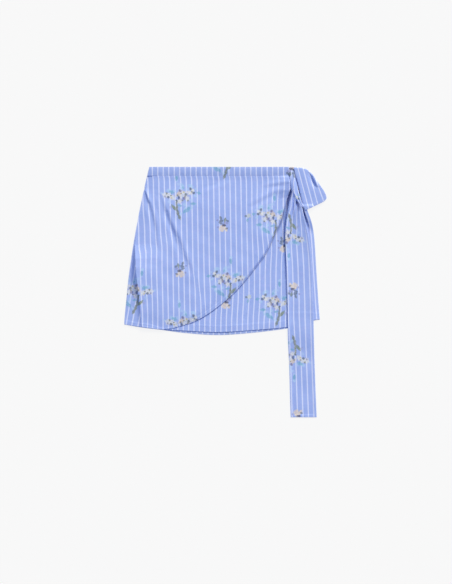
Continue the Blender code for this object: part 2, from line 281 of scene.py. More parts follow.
# %% Side seams, hems and free edge
WAIST = 312.5
BAND_WIDTH = 22.0
BAND_SEAM = WAIST - BAND_WIDTH
PANEL_TOP = BAND_SEAM + 1.5      # the panels run a little way up under the band
OVERLAP_BAND_END = 168.0
BAND_END_TOP = 163.0            # the knot has pulled the end of the band slantwise
UNDERLAP_EDGE_TOP = -150.0
UNDERLAP_EDGE_HEM = -196.0
NICK_HEIGHT = 257.0
NICK_DEPTH = 1.2
NICK_LENGTH = 4.5

Seam = namedtuple("Seam", "y left right")
SIDE_SEAMS = (
    Seam(312.5, -190.0, 171.0),
    Seam(262.0, -202.3, 185.3),
    Seam(206.0, -214.0, 203.8),
    Seam(171.0, -220.5, 215.6),
    Seam(130.0, -228.0, 222.0),
    Seam(50.0, -240.3, 227.0),
    Seam(-32.0, -248.8, 232.4),
    Seam(-68.0, -252.0, 235.0),
    Seam(-81.0, -252.5, 235.3),
)
Hem = namedtuple("Hem", "x back front")
HEM = (
    Hem(-252.5, -81.0, -80.4),
    Hem(-206.0, -88.8, -87.7),
    Hem(-157.0, -94.7, -93.5),
    Hem(-100.0, -102.2, -96.4),
    Hem(-20.0, -107.2, -100.0),
    Hem(63.0, -102.0, -95.4),
    Hem(151.0, -91.2, -87.8),
    Hem(190.0, -81.5, -79.6),
    Hem(220.0, -71.3, -70.2),
    Hem(235.2, -68.8, -68.2),
)
FREE_EDGE = (
    (168.0, PANEL_TOP), (161.2, 255.0), (150.0, 224.5), (138.5, 183.0), (121.3, 141.5), (97.5, 92.0),
    (64.0, 47.0), (22.5, -1.0), (-25.0, -41.0), (-75.5, -72.5), (-126.0, -88.4), (-157.0, -93.5),
)
FINE = np.linspace(0.0, 1.0, 400)


def seam_across(side, heights):
    """How far out a side seam lies at the given heights."""
    whole = smooth_curve([(getattr(row, side), row.y) for row in SIDE_SEAMS], FINE)
    across = np.interp(-heights, -whole[:, 1], whole[:, 0])
    if side == "left":
        across = across + NICK_DEPTH * bell((heights - NICK_HEIGHT) / NICK_LENGTH)
    return across


def seam_curve(side, top, bottom, shares):
    heights = top + (bottom - top) * shares
    return np.column_stack([seam_across(side, heights), heights])


def hem_curve(layer, start, end, shares):
    whole = smooth_curve([(row.x, getattr(row, layer)) for row in HEM], FINE)
    across = start + (end - start) * shares
    return np.column_stack([across, np.interp(across, whole[:, 0], whole[:, 1])])


edge_points = smooth_curve(FREE_EDGE, FINE)
edge_length = np.linalg.norm(np.diff(edge_points, axis=0), axis=1).sum()
print(f"the free edge is {edge_length:.0f} mm long")

# %% [markdown]
# ## Turning a laid surface into cloth
#
# A single-sided surface has no edge to catch the light, and thickness from a modifier leaves a square
# rim. So each sheet is closed by hand: the middle surface is moved half a thickness out to both sides,
# and a half-round rim joins the two. Hems are simply places where the thickness is greater.
#
# Each sheet carries two maps. "cloth" says where a point lies on the bolt, across and along the stripes.
# "print" says where it lies on the nearest printed motif, so that one set of motifs serves every piece.

# %% Helpers for the mesh and its maps
NOWHERE = (9.0, 9.0)            # a place on the print map where nothing is printed

Motif = namedtuple("Motif", "home reach middle")
MOTIFS = {
    "spray": Motif(home=(0.0, 0.0), reach=74.0, middle=(-6.0, 0.0)),
    "sprig": Motif(home=(0.4, 0.0), reach=26.0, middle=(0.0, 0.0)),
    "bud": Motif(home=(0.8, 0.0), reach=20.0, middle=(0.0, -4.0)),
}
Place = namedtuple("Place", "motif x y turn mirror")


def print_map(points, faces, places):
    """Where each corner of each face lies on its nearest motif, in metres on the print map."""
    corners = points[faces]
    centres = corners.mean(axis=1)
    best = np.full(len(faces), 1.0)
    found = np.empty(corners.shape)
    found[:] = NOWHERE
    for place in places:
        motif = MOTIFS[place.motif]
        turn = np.radians(place.turn)
        spin = np.array([[np.cos(turn), -np.sin(turn)], [np.sin(turn), np.cos(turn)]])
        flip = np.array([-1.0 if place.mirror else 1.0, 1.0])
        middle = np.array([place.x, place.y]) + spin @ (flip * motif.middle)
        nearness = np.linalg.norm(centres - middle, axis=1) / motif.reach
        chosen = nearness < best
        best[chosen] = nearness[chosen]
        local = ((corners[chosen] - (place.x, place.y)) @ spin) * flip
        found[chosen] = local * MM + motif.home
    return found


def add_mesh(name, points, faces):
    mesh = bpy.data.meshes.new(name)
    mesh.from_pydata((np.asarray(points) * MM).tolist(), [], np.asarray(faces).tolist())
    mesh.polygons.foreach_set("use_smooth", np.ones(len(faces), dtype=bool))
    piece = bpy.data.objects.new(name, mesh)
    bpy.context.scene.collection.objects.link(piece)
    return piece


def add_map(mesh, name, values):
    layer = mesh.uv_layers.new(name=name)
    layer.data.foreach_set("uv", np.asarray(values, dtype=np.float32).ravel())


def add_values(mesh, name, values):
    """One number for each point of a mesh."""
    layer = mesh.attributes.new(name, "FLOAT", "POINT")
    layer.data.foreach_set("value", np.asarray(values, dtype=np.float32).ravel())


print("motifs:", ", ".join(MOTIFS))

# %% [markdown]
# ## Painted shade in deep folds
#
# Light reaches the bottom of a narrow fold only after it has bounced off blue cloth several times, so the
# cloth there looks a dark, full blue. Very fine geometry and many light bounces could show that. Here it
# is painted shade instead: a few soft lines are drawn along the deepest folds, each point of the cloth
# gets a number that says how much shade is painted on it, and the cotton is darkened towards a full blue
# by it.

# %% Helpers for the painted shade in folds
Shade = namedtuple("Shade", "strength width path")
SHADE_START = 0.25              # how strong a shade begins, as a share of half a wave
SHADE_FADE = 0.7


def swell_along(along, start, power):
    """Strongest in the middle of a path and nothing at its end, like half a wave begun at start."""
    return np.sin(np.pi * np.clip(start + (1 - start) * along, 0, 1)) ** power


def shade_along(points, shades):
    """How much shade is painted on each point, from 0 to 1: strongest along the paths given."""
    # deep holds the painted shade: the strongest of all the lines at each point
    deep = np.zeros(points.shape[:-1])
    for shade in shades:
        gap, along = distance_to_path(points, shade.path)
        fade = swell_along(along, SHADE_START, SHADE_FADE)
        deep = np.maximum(deep, shade.strength * fade * bell(gap / shade.width))
    return deep


print("a shade begins at", round(float(swell_along(0.0, SHADE_START, SHADE_FADE)), 2), "of its strength")

# %% [markdown]
# ## Closing a sheet
#
# The upper side, the lower side and the rim are joined into one closed skin. The rim is a chain of rings
# of points that runs once round the border, and each ring stands a little further over the edge.

# %% Helpers that close a sheet
RIM_STEPS = 4


def unit(vectors):
    return vectors / np.maximum(np.linalg.norm(vectors, axis=-1, keepdims=True), 1e-9)


def grid_normals(grid):
    normals = np.cross(np.gradient(grid, axis=0), np.gradient(grid, axis=1))
    return normals / np.linalg.norm(normals, axis=-1, keepdims=True)


def border_of(rows, columns):
    """Row and column of each border point, once round, and which way is out at each."""
    loop = [(0, c) for c in range(columns - 1)] + [(r, columns - 1) for r in range(rows - 1)]
    loop += [(rows - 1, c) for c in range(columns - 1, 0, -1)] + [(r, 0) for r in range(rows - 1, 0, -1)]
    loop = np.array(loop)
    out_down = (loop[:, 0] == rows - 1).astype(float) - (loop[:, 0] == 0)
    out_across = (loop[:, 1] == columns - 1).astype(float) - (loop[:, 1] == 0)
    return loop[:, 0], loop[:, 1], out_down, out_across


def closed_skin(middle, half, normals):
    """Points and faces of the closed sheet, and which grid points its border runs through."""
    rows, columns = middle.shape[:2]
    size = rows * columns
    at_row, at_column, out_down, out_across = border_of(rows, columns)
    down = unit(np.gradient(middle, axis=0))[at_row, at_column]
    across = unit(np.gradient(middle, axis=1))[at_row, at_column]
    out = unit(down * out_down[:, None] + across * out_across[:, None])
    rim_middle, rim_normal = middle[at_row, at_column], normals[at_row, at_column]
    rim_half = half[at_row, at_column]
    points = [(middle + half * normals).reshape(size, 3), (middle - half * normals).reshape(size, 3)]
    for angle in np.linspace(0.0, np.pi, RIM_STEPS + 1)[1:-1]:
        points.append(rim_middle + rim_half * (rim_normal * np.cos(angle) + out * np.sin(angle)))
    corner = np.arange(size).reshape(rows, columns)
    a, b, c, d = corner[:-1, :-1], corner[1:, :-1], corner[1:, 1:], corner[:-1, 1:]
    upper = np.stack([a, b, c, d], axis=-1).reshape(-1, 4)
    border = at_row * columns + at_column
    count = len(border)
    rings = [border] + [2 * size + count * k + np.arange(count) for k in range(RIM_STEPS - 1)]
    rings.append(border + size)
    rim = [
        np.stack([high, np.roll(high, -1), np.roll(low, -1), low], axis=-1)
        for high, low in zip(rings, rings[1:])
    ]
    return np.vstack(points), np.vstack([upper, upper[:, ::-1] + size] + rim), border


print("a rim has", RIM_STEPS, "steps, and the border of a 3 by 4 grid", len(border_of(3, 4)[0]), "points")

# %% [markdown]
# ### A whole sheet
#
# One call makes every sheet of the skirt, so all of them have the same kind of edge, the same two maps and
# the same two vertex values: how much the cloth is lightened near its edges, as wear and as a painted
# highlight, and how much painted shade it gets in a fold. The points of the rim borrow the values of the
# border they run along. Where a deep fold has swallowed cloth, the map of the bolt jumps from one column
# to the next, and the stripes jump with it.

# %% Close a sheet and give it its maps
# pale edges are partly wear and partly a painted highlight along the rims
WEAR_AND_HIGHLIGHT_REACH = 1.8                # how far in from an edge the cloth is worn
Cloth = namedtuple("Cloth", "piece top normals")


def cloth_sheet(name, middle, thickness, bolt, places, jump=None, shades=()):
    """Close a sheet round its middle surface and give it its maps, its pale edges (wear and painted
    highlight) and its painted shades.

    bolt holds where each grid point lies across and along the stripes. jump, if given, is a column and
    what is taken off the bolt's first coordinate left of it, where a deep fold has swallowed cloth.
    """
    rows, columns = middle.shape[:2]
    normals = grid_normals(middle)
    half = 0.5 * np.broadcast_to(thickness, (rows, columns))[..., None]
    points, faces, border = closed_skin(middle, half, normals)
    piece = add_mesh(name, points, faces)
    mesh = piece.data

    def on_all_points(values):
        flat = values.reshape(rows * columns, -1)
        return np.vstack([flat, flat] + [flat[border]] * (RIM_STEPS - 1))

    bolt_map = on_all_points(bolt)[faces]
    if jump is not None:
        fold_column, swallowed = jump
        column_of = on_all_points(np.broadcast_to(np.arange(columns), (rows, columns)))[faces][..., 0]
        beyond = column_of.mean(axis=1) < fold_column
        bolt_map[beyond, :, 0] -= on_all_points(swallowed)[faces][beyond, :, 0]
    add_map(mesh, "cloth", bolt_map * MM)
    plane = middle[..., :2]
    add_map(mesh, "print", print_map(on_all_points(plane), faces, places))
    side_faces = (rows - 1) * (columns - 1)
    inside_out = np.zeros(len(faces), dtype=np.int32)
    inside_out[side_faces:2 * side_faces] = 1
    mesh.polygons.foreach_set("material_index", inside_out)
    edge_gap = np.minimum.reduce([
        measure(middle)
        for measure in (lengths_across, lengths_from_right, lengths_down, lengths_from_foot)
    ])
    # edges lightened: wear, and a painted highlight
    add_values(mesh, "edge_wear_and_highlight", on_all_points(np.exp(-edge_gap / WEAR_AND_HIGHLIGHT_REACH)))
    # painted shade along the deepest folds
    add_values(mesh, "painted_fold_shade", on_all_points(shade_along(plane, shades)))
    print(f"{name}: {len(mesh.polygons) * 2} triangles")
    return Cloth(piece, middle + half * normals, normals)


print(f"wear reaches about {2 * WEAR_AND_HIGHLIGHT_REACH:.1f} mm in from an edge")

# %% [markdown]
# ## Creases, waves and hems
#
# Folds pressed into cloth that lies flat are shallow: a trough a few millimetres deep with a soft ridge
# beside it, and often a crisp line at its foot. Each one is drawn as a path with a depth and a width.
# Very low, long waves keep the rest from looking ironed. A hem is turned twice, so it is thicker, and
# its inner edge shows as a faint step where the stitches hold it.

# %% Helpers for creases, waves and hems
Crease = namedtuple("Crease", "depth width ridge line path")
Wave = namedtuple("Wave", "height length heading phase")
CREASE_SPREAD = 0.85            # trough and ridge lie this many widths to either side of the path
CREASE_START = 0.1
CREASE_FADE = 0.6
LINE_WIDTH = 0.3                # of the crease's own width


def crease_relief(points, creases):
    """Height that creases add. A path runs along the steep side between a trough and a ridge.

    The ridge is on the left of the path, as one walks along it, or on the right where it is negative.
    Where it is 0 there is no ridge, and the path runs along the trough.
    """
    height = np.zeros(points.shape[:-1])
    for crease in creases:
        gap, along = distance_to_path(points, crease.path)
        strength = crease.depth * swell_along(along, CREASE_START, CREASE_FADE)
        share = gap / crease.width
        spread = CREASE_SPREAD * np.sign(crease.ridge)
        height -= strength * bell(share + spread)
        height -= crease.line * strength * bell(share / LINE_WIDTH)
        height += abs(crease.ridge) * strength * bell(share - spread)
    return height


def wave_relief(points, waves):
    height = np.zeros(points.shape[:-1])
    for wave in waves:
        heading = np.radians(wave.heading)
        run = points[..., 0] * np.cos(heading) + points[..., 1] * np.sin(heading)
        height += wave.height * np.sin(2 * np.pi * run / wave.length + wave.phase)
    return height


def hem_thickness(gap, width, extra, step=3.0):
    """Extra thickness of a turned hem, at a distance from its folded edge."""
    return extra * (1 - smooth_step((gap - width) / step))


sample = Crease(3, 8, 0.5, 0.2, ((0, 40), (0, 0), (0, -40)))
print("a crease 3 mm deep, on its path:", round(float(crease_relief(np.zeros((1, 2)), [sample])[0]), 2))

# %% [markdown]
# ## Stripes on the bolt
#
# The stripes are woven in, one white stripe every 13.67 mm. On a laid garment they don't run dead
# straight: they follow how the cloth was cut, gathered and pulled. So each piece says for itself how far
# across the bolt its points are, and the pattern bends with it. Where the cloth was tugged sideways while
# it was laid down, a pull bends them there, and fades out round that place.

# %% Stripe spacing
STRIPE_PITCH = 13.67            # millimetres from one white stripe to the next
Pull = namedtuple("Pull", "x y wide tall shift")


def pulled(points, pulls):
    """How far to the left the cloth has been pulled at each point."""
    x, y = points[..., 0], points[..., 1]
    shift = np.zeros(x.shape)
    for pull in pulls:
        shift += pull.shift * bell((x - pull.x) / pull.wide) * bell((y - pull.y) / pull.tall)
    return shift


print(f"{FRONT_WIDTH / STRIPE_PITCH:.0f} stripes across the front")

# %% [markdown]
# ## The rolled side seam
#
# Beside the knot the pull of the sash has drawn the right side seam up into a low roll, a hand's width
# long. The back and the underlap are sewn together there, so both rise in it, most at the seam itself.
# It could be a third piece laid on top, but a real roll is the same cloth, so both panels share one rule.

# %% Measure the rolled side seam
SIDE_ROLL = 4.6
SIDE_ROLL_TOP = 226.0
SIDE_ROLL_FOOT = 146.0
SIDE_ROLL_GROWS = 36.0          # from its foot up, over this length
SIDE_ROLL_ENDS = 12.0
SIDE_ROLL_RISE = 0.35           # and this share higher at the seam itself
ROLL_WIDTH = 7.4                # on the underlap: its flat crest, and the steep wall left of it
ROLL_WALL = 2.6
ROLL_SLOPE = 8.0
ROLL_WIDTH_BELOW = 7.0          # on the back


def side_roll(y):
    """How high the right side seam is pulled up at a height."""
    grows = smooth_step((y - SIDE_ROLL_FOOT) / SIDE_ROLL_GROWS)
    return SIDE_ROLL * grows * smooth_step((SIDE_ROLL_TOP - y) / SIDE_ROLL_ENDS)


print(f"the side seam rises {side_roll(190.0) * (1 + SIDE_ROLL_RISE):.1f} mm beside the knot")

# %% [markdown]
# ## Back panel
#
# The back is one piece between the side seams, with its right side against the table. Only its hem
# shows from the front, as the inside of a turned hem. It lies almost flat, with low waves, and its
# underside stays on the table. The print on its hidden side is set out evenly, as it is on the bolt.

# %% Make the back panel
CLOTH_THICKNESS = 0.6
HEM_EXTRA = 0.35
HEM_WIDTH = 15.0                # of the back and of the underlap
BACK_LEVEL = 0.0
TABLE_GAP = 0.02                # the least height above the table
BACK_RISE = 0.18
BACK_STRIPE_START = -2.75
BACK_WAVES = (
    Wave(0.10, 92.0, 15.0, 0.4),
    Wave(0.08, 57.0, 100.0, 2.1),
)
BACK_PLACES = (
    Place("spray", 10.0, 215.0, 0, False),
    Place("spray", -105.0, 60.0, 0, False),
    Place("spray", 125.0, 60.0, 0, False),
    Place("spray", 10.0, -60.0, 0, True),
    Place("spray", -200.0, 190.0, 0, True),
    Place("spray", 215.0, 185.0, 0, True),
    Place("sprig", -95.0, 165.0, 0, False),
    Place("sprig", 115.0, 175.0, 0, True),
    Place("sprig", 10.0, 80.0, 0, False),
    Place("sprig", -205.0, -20.0, 0, True),
    Place("sprig", 200.0, -15.0, 0, False),
)


def panel_thickness(grid):
    return CLOTH_THICKNESS + hem_thickness(lengths_from_foot(grid), HEM_WIDTH, HEM_EXTRA)


def back_underside(grid):
    rise = wave_relief(grid, BACK_WAVES) + BACK_RISE
    from_seam = seam_across("right", grid[..., 1]) - grid[..., 0]
    roll = (1 + SIDE_ROLL_RISE) * side_roll(grid[..., 1]) * (1 - smooth_step(from_seam / ROLL_WIDTH_BELOW))
    return BACK_LEVEL + TABLE_GAP + np.maximum(rise, 0.0) + roll


def make_back():
    down = bunched(110, 0.5, 3.0, 0.06)
    across = bunched(150, 0.5, 0.5)
    left = seam_curve("left", PANEL_TOP, HEM[0].back, down)
    right = seam_curve("right", PANEL_TOP, HEM[-1].back, down)
    top = left[0] + (right[0] - left[0]) * across[:, None]
    hem = hem_curve("back", left[-1, 0], right[-1, 0], across)
    grid = patch(left, right, top, hem, down, across)
    thickness = panel_thickness(grid)
    middle = np.dstack([grid, back_underside(grid) + thickness / 2])
    bolt = np.dstack([grid[..., 0] - BACK_STRIPE_START, grid[..., 1]])
    return cloth_sheet("back_cloth", middle, thickness, bolt, BACK_PLACES)


back = make_back()

# %% [markdown]
# ## Underlap
#
# This front panel starts at the right side seam and runs across underneath, nearly to the left one. It
# shows as a curved triangle between the free edge and the right side. To its right it comes down to meet
# the back at the side seam. Its height is a rule for any point in the plane, not only for its own grid,
# so that the overlap and the sash can ask how high the cloth below them lies.

# %% The height of the underlap
UNDERLAP_LEVEL = 1.3
UNDERLAP_LIFT = 0.45            # it lies loosely on the back
SEAM_FADE = 20.0                # its relief fades out this far from the side seam
BAND_FADE = 25.0                # from the band
HEM_FADE_FROM = -100.0          # and from this height up, at the hem
HEM_FADE = 22.0
SIDE_DROP = 9.0                 # how far from a side seam a front panel comes down to the back
SIDE_DROP_DEPTH = UNDERLAP_LEVEL - BACK_LEVEL - 0.72
HEM_LIFT = 0.3                  # the hem of the front stands a little off the back
HEM_LIFT_FROM = -55.0
HEM_LIFT_REACH = 35.0
HEM_LIFT_SEAM_FADE = 30.0
HEM_IS_THICK_BELOW = -50.0
UNDERLAP_WAVES = (
    Wave(0.22, 74.0, 8.0, 0.7),
    Wave(0.14, 47.0, -25.0, 1.9),
    Wave(0.10, 118.0, 80.0, 0.2),
)
UNDERLAP_CREASES = (
    Crease(0.9, 9.0, 0.5, 0.0, ((138, 196), (118, 120), (112, 30), (118, -60))),
    Crease(0.7, 8.0, -0.5, 0.0, ((96, 60), (60, 0), (40, -70))),
    Crease(0.8, 7.0, 0.5, 0.1, ((228, 130), (224, 70), (227, 10), (231, -50))),
)


def underlap_underside(points):
    """Height of the underlap's underside over any points in the plane."""
    y = points[..., 1]
    from_seam = seam_across("right", y) - points[..., 0]
    lift = UNDERLAP_LIFT + wave_relief(points, UNDERLAP_WAVES) + crease_relief(points, UNDERLAP_CREASES)
    inside = smooth_step(from_seam / SEAM_FADE) * smooth_step((PANEL_TOP - y) / BAND_FADE)
    inside = inside * smooth_step((y - HEM_FADE_FROM) / HEM_FADE)
    hem = smooth_step((HEM_LIFT_FROM - y) / HEM_LIFT_REACH) * smooth_step(from_seam / HEM_LIFT_SEAM_FADE)
    drop = SIDE_DROP_DEPTH * (1 - smooth_step(from_seam / SIDE_DROP))
    wall = 1 - smooth_step((from_seam - ROLL_WIDTH) / ROLL_WALL)
    wall = wall * (1 + SIDE_ROLL_RISE * np.clip(1 - from_seam / ROLL_SLOPE, 0, 1))
    flat = UNDERLAP_LEVEL + np.maximum(lift, 0.0) * inside + HEM_LIFT * hem - drop
    return flat + side_roll(y) * wall


def underlap_top(points):
    """Height that a piece has to stay above where it lies on the underlap."""
    return underlap_underside(points) + CLOTH_THICKNESS + HEM_EXTRA * (points[..., 1] < HEM_IS_THICK_BELOW)


print(f"the underlap's top at the origin: {underlap_top(np.zeros((1, 2)))[0]:.2f} mm")

# %% [markdown]
# ### Its stripes and its print
#
# In the middle the stripes run straight down and swing a little over the hem. Beside the side seam they
# lean with it, because under the sash the panel takes up a fold. The two runs of stripes are counted from
# either side and brought together under the sash, where nobody sees them meet.

# %% Make the underlap
UNDERLAP_STRIPE_START = 1.94
UNDERLAP_STRIPE_PITCH = 13.44   # as it shows, a little closed up
HEM_SWING = 3.2                 # the stripes swing to the left over the hem
HEM_SWING_FROM = -80.0
HEM_SWING_REACH = 75.0
SIDE_STRIPE_INSET = 7.0         # the outermost stripe follows the side seam
SIDE_STRIPES_FROM = 46.0
SIDE_STRIPES_REACH = 22.0
UNDERLAP_PULLS = (
    Pull(112.0, 105.0, 28.0, 32.0, -2.5),
    Pull(143.0, 150.0, 12.0, 46.0, -4.2),
    Pull(113.0, -42.0, 24.0, 24.0, -2.0),
)
UNDERLAP_PLACES = (
    Place("spray", 128.2, -27.5, 0, False),
    Place("bud", 59.0, -12.0, 0, False),
    Place("sprig", 147.0, 117.5, 0, False),
    Place("sprig", 1.2, -23.5, 0, False),
    Place("spray", -60.0, 110.0, 0, False),
)
# painted shade, drawn along the deep folds of the underlap
UNDERLAP_SHADES = (             # left of the knot, under the free edge, beside the rolled seam, lower down
    Shade(1.0, 3.6, ((161.0, 255), (158.4, 243), (155.6, 231), (153.6, 219), (152, 204))),
    Shade(0.75, 2.6, ((147, 214), (144.8, 200), (142.2, 186), (137.4, 170), (131.5, 157), (122, 141))),
    Shade(0.86, 3.0, ((191, 214), (193.5, 204), (197, 191), (200.2, 178), (202.2, 171))),
    Shade(0.6, 2.0, (
        (133.5, 165), (128.6, 154), (122.6, 141.5), (115, 126), (107.5, 110), (96, 88), (84, 70),
    )),
)


def underlap_across_bolt(points):
    x, y = points[..., 0], points[..., 1]
    past_seam = x - seam_across("right", y)
    swing = HEM_SWING * smooth_step((y - HEM_SWING_FROM) / HEM_SWING_REACH)
    inner = (x - UNDERLAP_STRIPE_START - swing) * STRIPE_PITCH / UNDERLAP_STRIPE_PITCH
    outer = past_seam + SIDE_STRIPE_INSET
    turns = np.round((inner - outer) / STRIPE_PITCH)
    outer = outer + STRIPE_PITCH * np.round(turns[len(turns) // 2, -1])
    near_seam = smooth_step((past_seam + SIDE_STRIPES_FROM) / SIDE_STRIPES_REACH)
    return inner * (1 - near_seam) + outer * near_seam + pulled(points, UNDERLAP_PULLS)


def make_underlap():
    down = bunched(130, 0.5, 3.0, 0.06)
    across = bunched(190, 0.3, 1.0)
    right = seam_curve("right", PANEL_TOP, HEM[-1].front, down)
    hem = hem_curve("front", UNDERLAP_EDGE_HEM, right[-1, 0], across)
    corner = np.array([UNDERLAP_EDGE_TOP, PANEL_TOP])
    left = corner + (hem[0] - corner) * down[:, None]
    top = corner + (right[0] - corner) * across[:, None]
    grid = patch(left, right, top, hem, down, across)
    thickness = panel_thickness(grid)
    middle = np.dstack([grid, underlap_underside(grid) + thickness / 2])
    bolt = np.dstack([underlap_across_bolt(grid), grid[..., 1]])
    return cloth_sheet("underlap_cloth", middle, thickness, bolt, UNDERLAP_PLACES, shades=UNDERLAP_SHADES)


underlap = make_underlap()

# %% [markdown]
# ## Overlap
#
# The top front panel is what the skirt is about. It starts at the left side seam, crosses the whole front
# and ends in a long curved edge with a narrow hem. It could be draped with a cloth simulation, but the
# creases that a skirt gets when it is laid down by hand are few, so they are listed one by one.
#
# Low on the left a deep fold turns the side under. A crisp fold needs a column of the grid to run exactly
# along it, so the columns are moved there first.

# %% Lay out the overlap
OVERLAP_ROWS = 180
TUCK_COLUMN = 16
TUCK_TOP = 119.0                # the deep fold leaves the side seam at this height
TUCK_INSETS = (                 # and this is how far it has moved away from the seam lower down
    (119.0, 3.0), (98.0, 8.0), (75.0, 13.0), (55.0, 17.0), (22.0, 24.8), (-20.0, 35.0), (-84.0, 46.5),
)


def overlap_columns(base):
    """Move the grid's columns so that one of them runs exactly along the deep fold."""
    across = lengths_across(base)
    inset = look_up(base[:, 0, 1], TUCK_INSETS) / across[:, -1]
    strip = bunched(TUCK_COLUMN, 0.5, 2.0, 0.3)
    rest = bunched(184, 2.5, 2.5, 0.04)
    rows = []
    for row, run, share in zip(base, across, inset):
        wanted = np.concatenate([share * strip[:-1], share + (1 - share) * rest]) * run[-1]
        rows.append(np.column_stack([np.interp(wanted, run, column) for column in row.T]))
    return np.stack(rows)


def overlap_grid():
    down = bunched(OVERLAP_ROWS, 1.5, 2.5, 0.04)
    across = np.linspace(0.0, 1.0, 240)
    left = seam_curve("left", PANEL_TOP, HEM[0].front, down)
    right = smooth_curve(FREE_EDGE, down)
    top = left[0] + (right[0] - left[0]) * across[:, None]
    bottom = hem_curve("front", left[-1, 0], right[-1, 0], across)
    return overlap_columns(patch(left, right, top, bottom, down, across)), down


overlap_plane, overlap_down = overlap_grid()
print("overlap grid:", overlap_plane.shape[:2])

# %% [markdown]
# ### The deep fold
#
# Right of the fold the panel stands up like a low wave, and left of it the cloth drops steeply into a
# hollow and rises again at the seam. Each height has its own rise and its own steepness, read from a
# short list, which is how a pattern maker would note it down.

# %% Shape the deep fold
Tuck = namedtuple("Tuck", "y stand reach")
TUCKS = (                       # at each height, how far it stands up and how wide its steep side is
    Tuck(165.0, 0.0, 3.0), Tuck(140.0, 0.7, 3.0), Tuck(119.0, 2.6, 3.0), Tuck(100.0, 7.5, 3.2),
    Tuck(84.0, 12.0, 3.6), Tuck(60.0, 13.5, 4.6), Tuck(35.0, 11.5, 6.0), Tuck(5.0, 7.0, 6.0),
    Tuck(-25.0, 5.0, 6.0), Tuck(-84.0, 3.4, 6.0),
)
TUCK_FADE = 36.0
TUCK_STEEPNESS = 1.5
TUCK_SEAM_FADE = 4.5
TUCK_CALM_REACH = 45.0          # left of the fold the other relief is pressed out
TUCK_CALM = 0.8
TUCK_RIM = 1.0                  # at the seam the cloth stands up again, so that a hollow lies between
TUCK_RIM_INSET = 2.4
TUCK_RIM_WIDTH = 1.5
TUCK_RIM_TOP = 108.0
TUCK_RIM_GROWS = 25.0
TUCK_RIM_FOOT = -60.0
TUCK_RIM_ENDS = 60.0


def tuck_relief(grid, from_seam):
    """The deep fold's own height, and which points lie left of it."""
    y = grid[..., 1]
    beyond = from_seam - from_seam[:, TUCK_COLUMN:TUCK_COLUMN + 1]
    short_of, past = np.maximum(-beyond, 0), np.maximum(beyond, 0)
    slope = np.exp(-(short_of / look_up(y, TUCKS, 2)) ** TUCK_STEEPNESS)
    slope = slope * smooth_step(from_seam / TUCK_SEAM_FADE)
    rim = TUCK_RIM * bell((from_seam - TUCK_RIM_INSET) / TUCK_RIM_WIDTH)
    rim = rim * smooth_step((TUCK_RIM_TOP - y) / TUCK_RIM_GROWS)
    rim = rim * smooth_step((y - TUCK_RIM_FOOT) / TUCK_RIM_ENDS)
    fold = look_up(y, TUCKS) * np.where(beyond < 0, slope, np.exp(-past / TUCK_FADE))
    return fold + rim, beyond < 0


print(f"the deep fold stands up {max(row.stand for row in TUCKS):.1f} mm")

# %% [markdown]
# ### Creases
#
# One crease comes down from the left hip and one from the nick in the seam, and short drag lines run
# into the knot. A line of points says where each of them runs. The panel also swells a little in its
# middle, where it lies over the most cloth.

# %% Crease the overlap
LOFT = 3.2
LOFT_EDGE_ACROSS = 0.14
LOFT_EDGE_DOWN = 0.20
CREASE_SEAM_FADE = 4.0
CREASE_HEM_FADE = 0.02
HIP_FOLD = ((-142, 195), (-133, 169), (-120, 142), (-109, 115), (-99, 88), (-88, 62), (-80, 42))
HIP_FOLD_TOP = ((-161, 237), (-147, 199), (-137, 171), (-124, 133), (-113, 98), (-105, 76))
NICK_FOLD = ((-204, 259), (-198, 241), (-187, 212), (-178, 181), (-173, 150), (-172, 110))
OVERLAP_CREASES = (
    Crease(1.6, 6.5, 0.7, 0.0, HIP_FOLD),
    Crease(1.3, 5.5, 0.6, 0.0, HIP_FOLD_TOP),
    Crease(1.3, 5.5, 1.0, 0.0, NICK_FOLD),
    Crease(2.4, 3.0, 0.8, 0.5, ((-207, 262), (-204, 257), (-200, 246), (-195, 232), (-190, 220))),
    Crease(0.8, 5.0, -0.8, 0.0, ((151, 271), (122, 268), (94, 262))),
    Crease(0.9, 6.0, -0.8, 0.0, ((140, 250), (118, 245), (84, 228), (54, 212))),
    Crease(0.6, 7.0, 0.6, 0.0, ((1, 275), (-30, 264), (-64, 250))),
    Crease(1.2, 8.0, 0.6, 0.0, ((140, 226), (122, 190), (100, 150))),
    Crease(1.0, 4.0, -0.7, 0.0, ((158, 296), (160, 284), (161, 272), (159, 260))),
    Crease(3.6, 4.0, 0.0, 0.0, ((162, 248), (158, 240), (154, 222), (151, 206), (148, 188), (146, 172))),
    Crease(3.4, 2.4, 0.0, 0.5, ((-237, 18), (-234, 5), (-231, -9))),
    Crease(1.3, 1.8, 0.7, 0.4, ((-236, 97), (-232, 86), (-228, 72))),
    Crease(1.4, 1.8, 0.7, 0.4, ((-238, 82), (-233, 68), (-228, 54))),
    Crease(1.2, 1.8, 0.7, 0.4, ((-240, 62), (-234, 48), (-228, 36))),
)
OVERLAP_WAVES = (
    Wave(0.30, 96.0, 12.0, 0.3),
    Wave(0.20, 61.0, -35.0, 1.2),
    Wave(0.16, 43.0, 62.0, 2.6),
)


def overlap_relief(grid, down, from_seam):
    """Swell, creases and waves of the panel, all fading out towards its borders."""
    across = from_seam / from_seam[:, -1:]
    rise = smooth_step(across / LOFT_EDGE_ACROSS) * smooth_step((1 - across) / LOFT_EDGE_ACROSS)
    rise = rise * smooth_step(down / LOFT_EDGE_DOWN) * smooth_step((1 - down) / LOFT_EDGE_DOWN)
    near_border = smooth_step(from_seam / CREASE_SEAM_FADE) * smooth_step((1 - down) / CREASE_HEM_FADE)
    creases = crease_relief(grid, OVERLAP_CREASES) * near_border
    return LOFT * rise + (creases + wave_relief(grid, OVERLAP_WAVES) * rise)


print(len(OVERLAP_CREASES), "creases in the overlap")

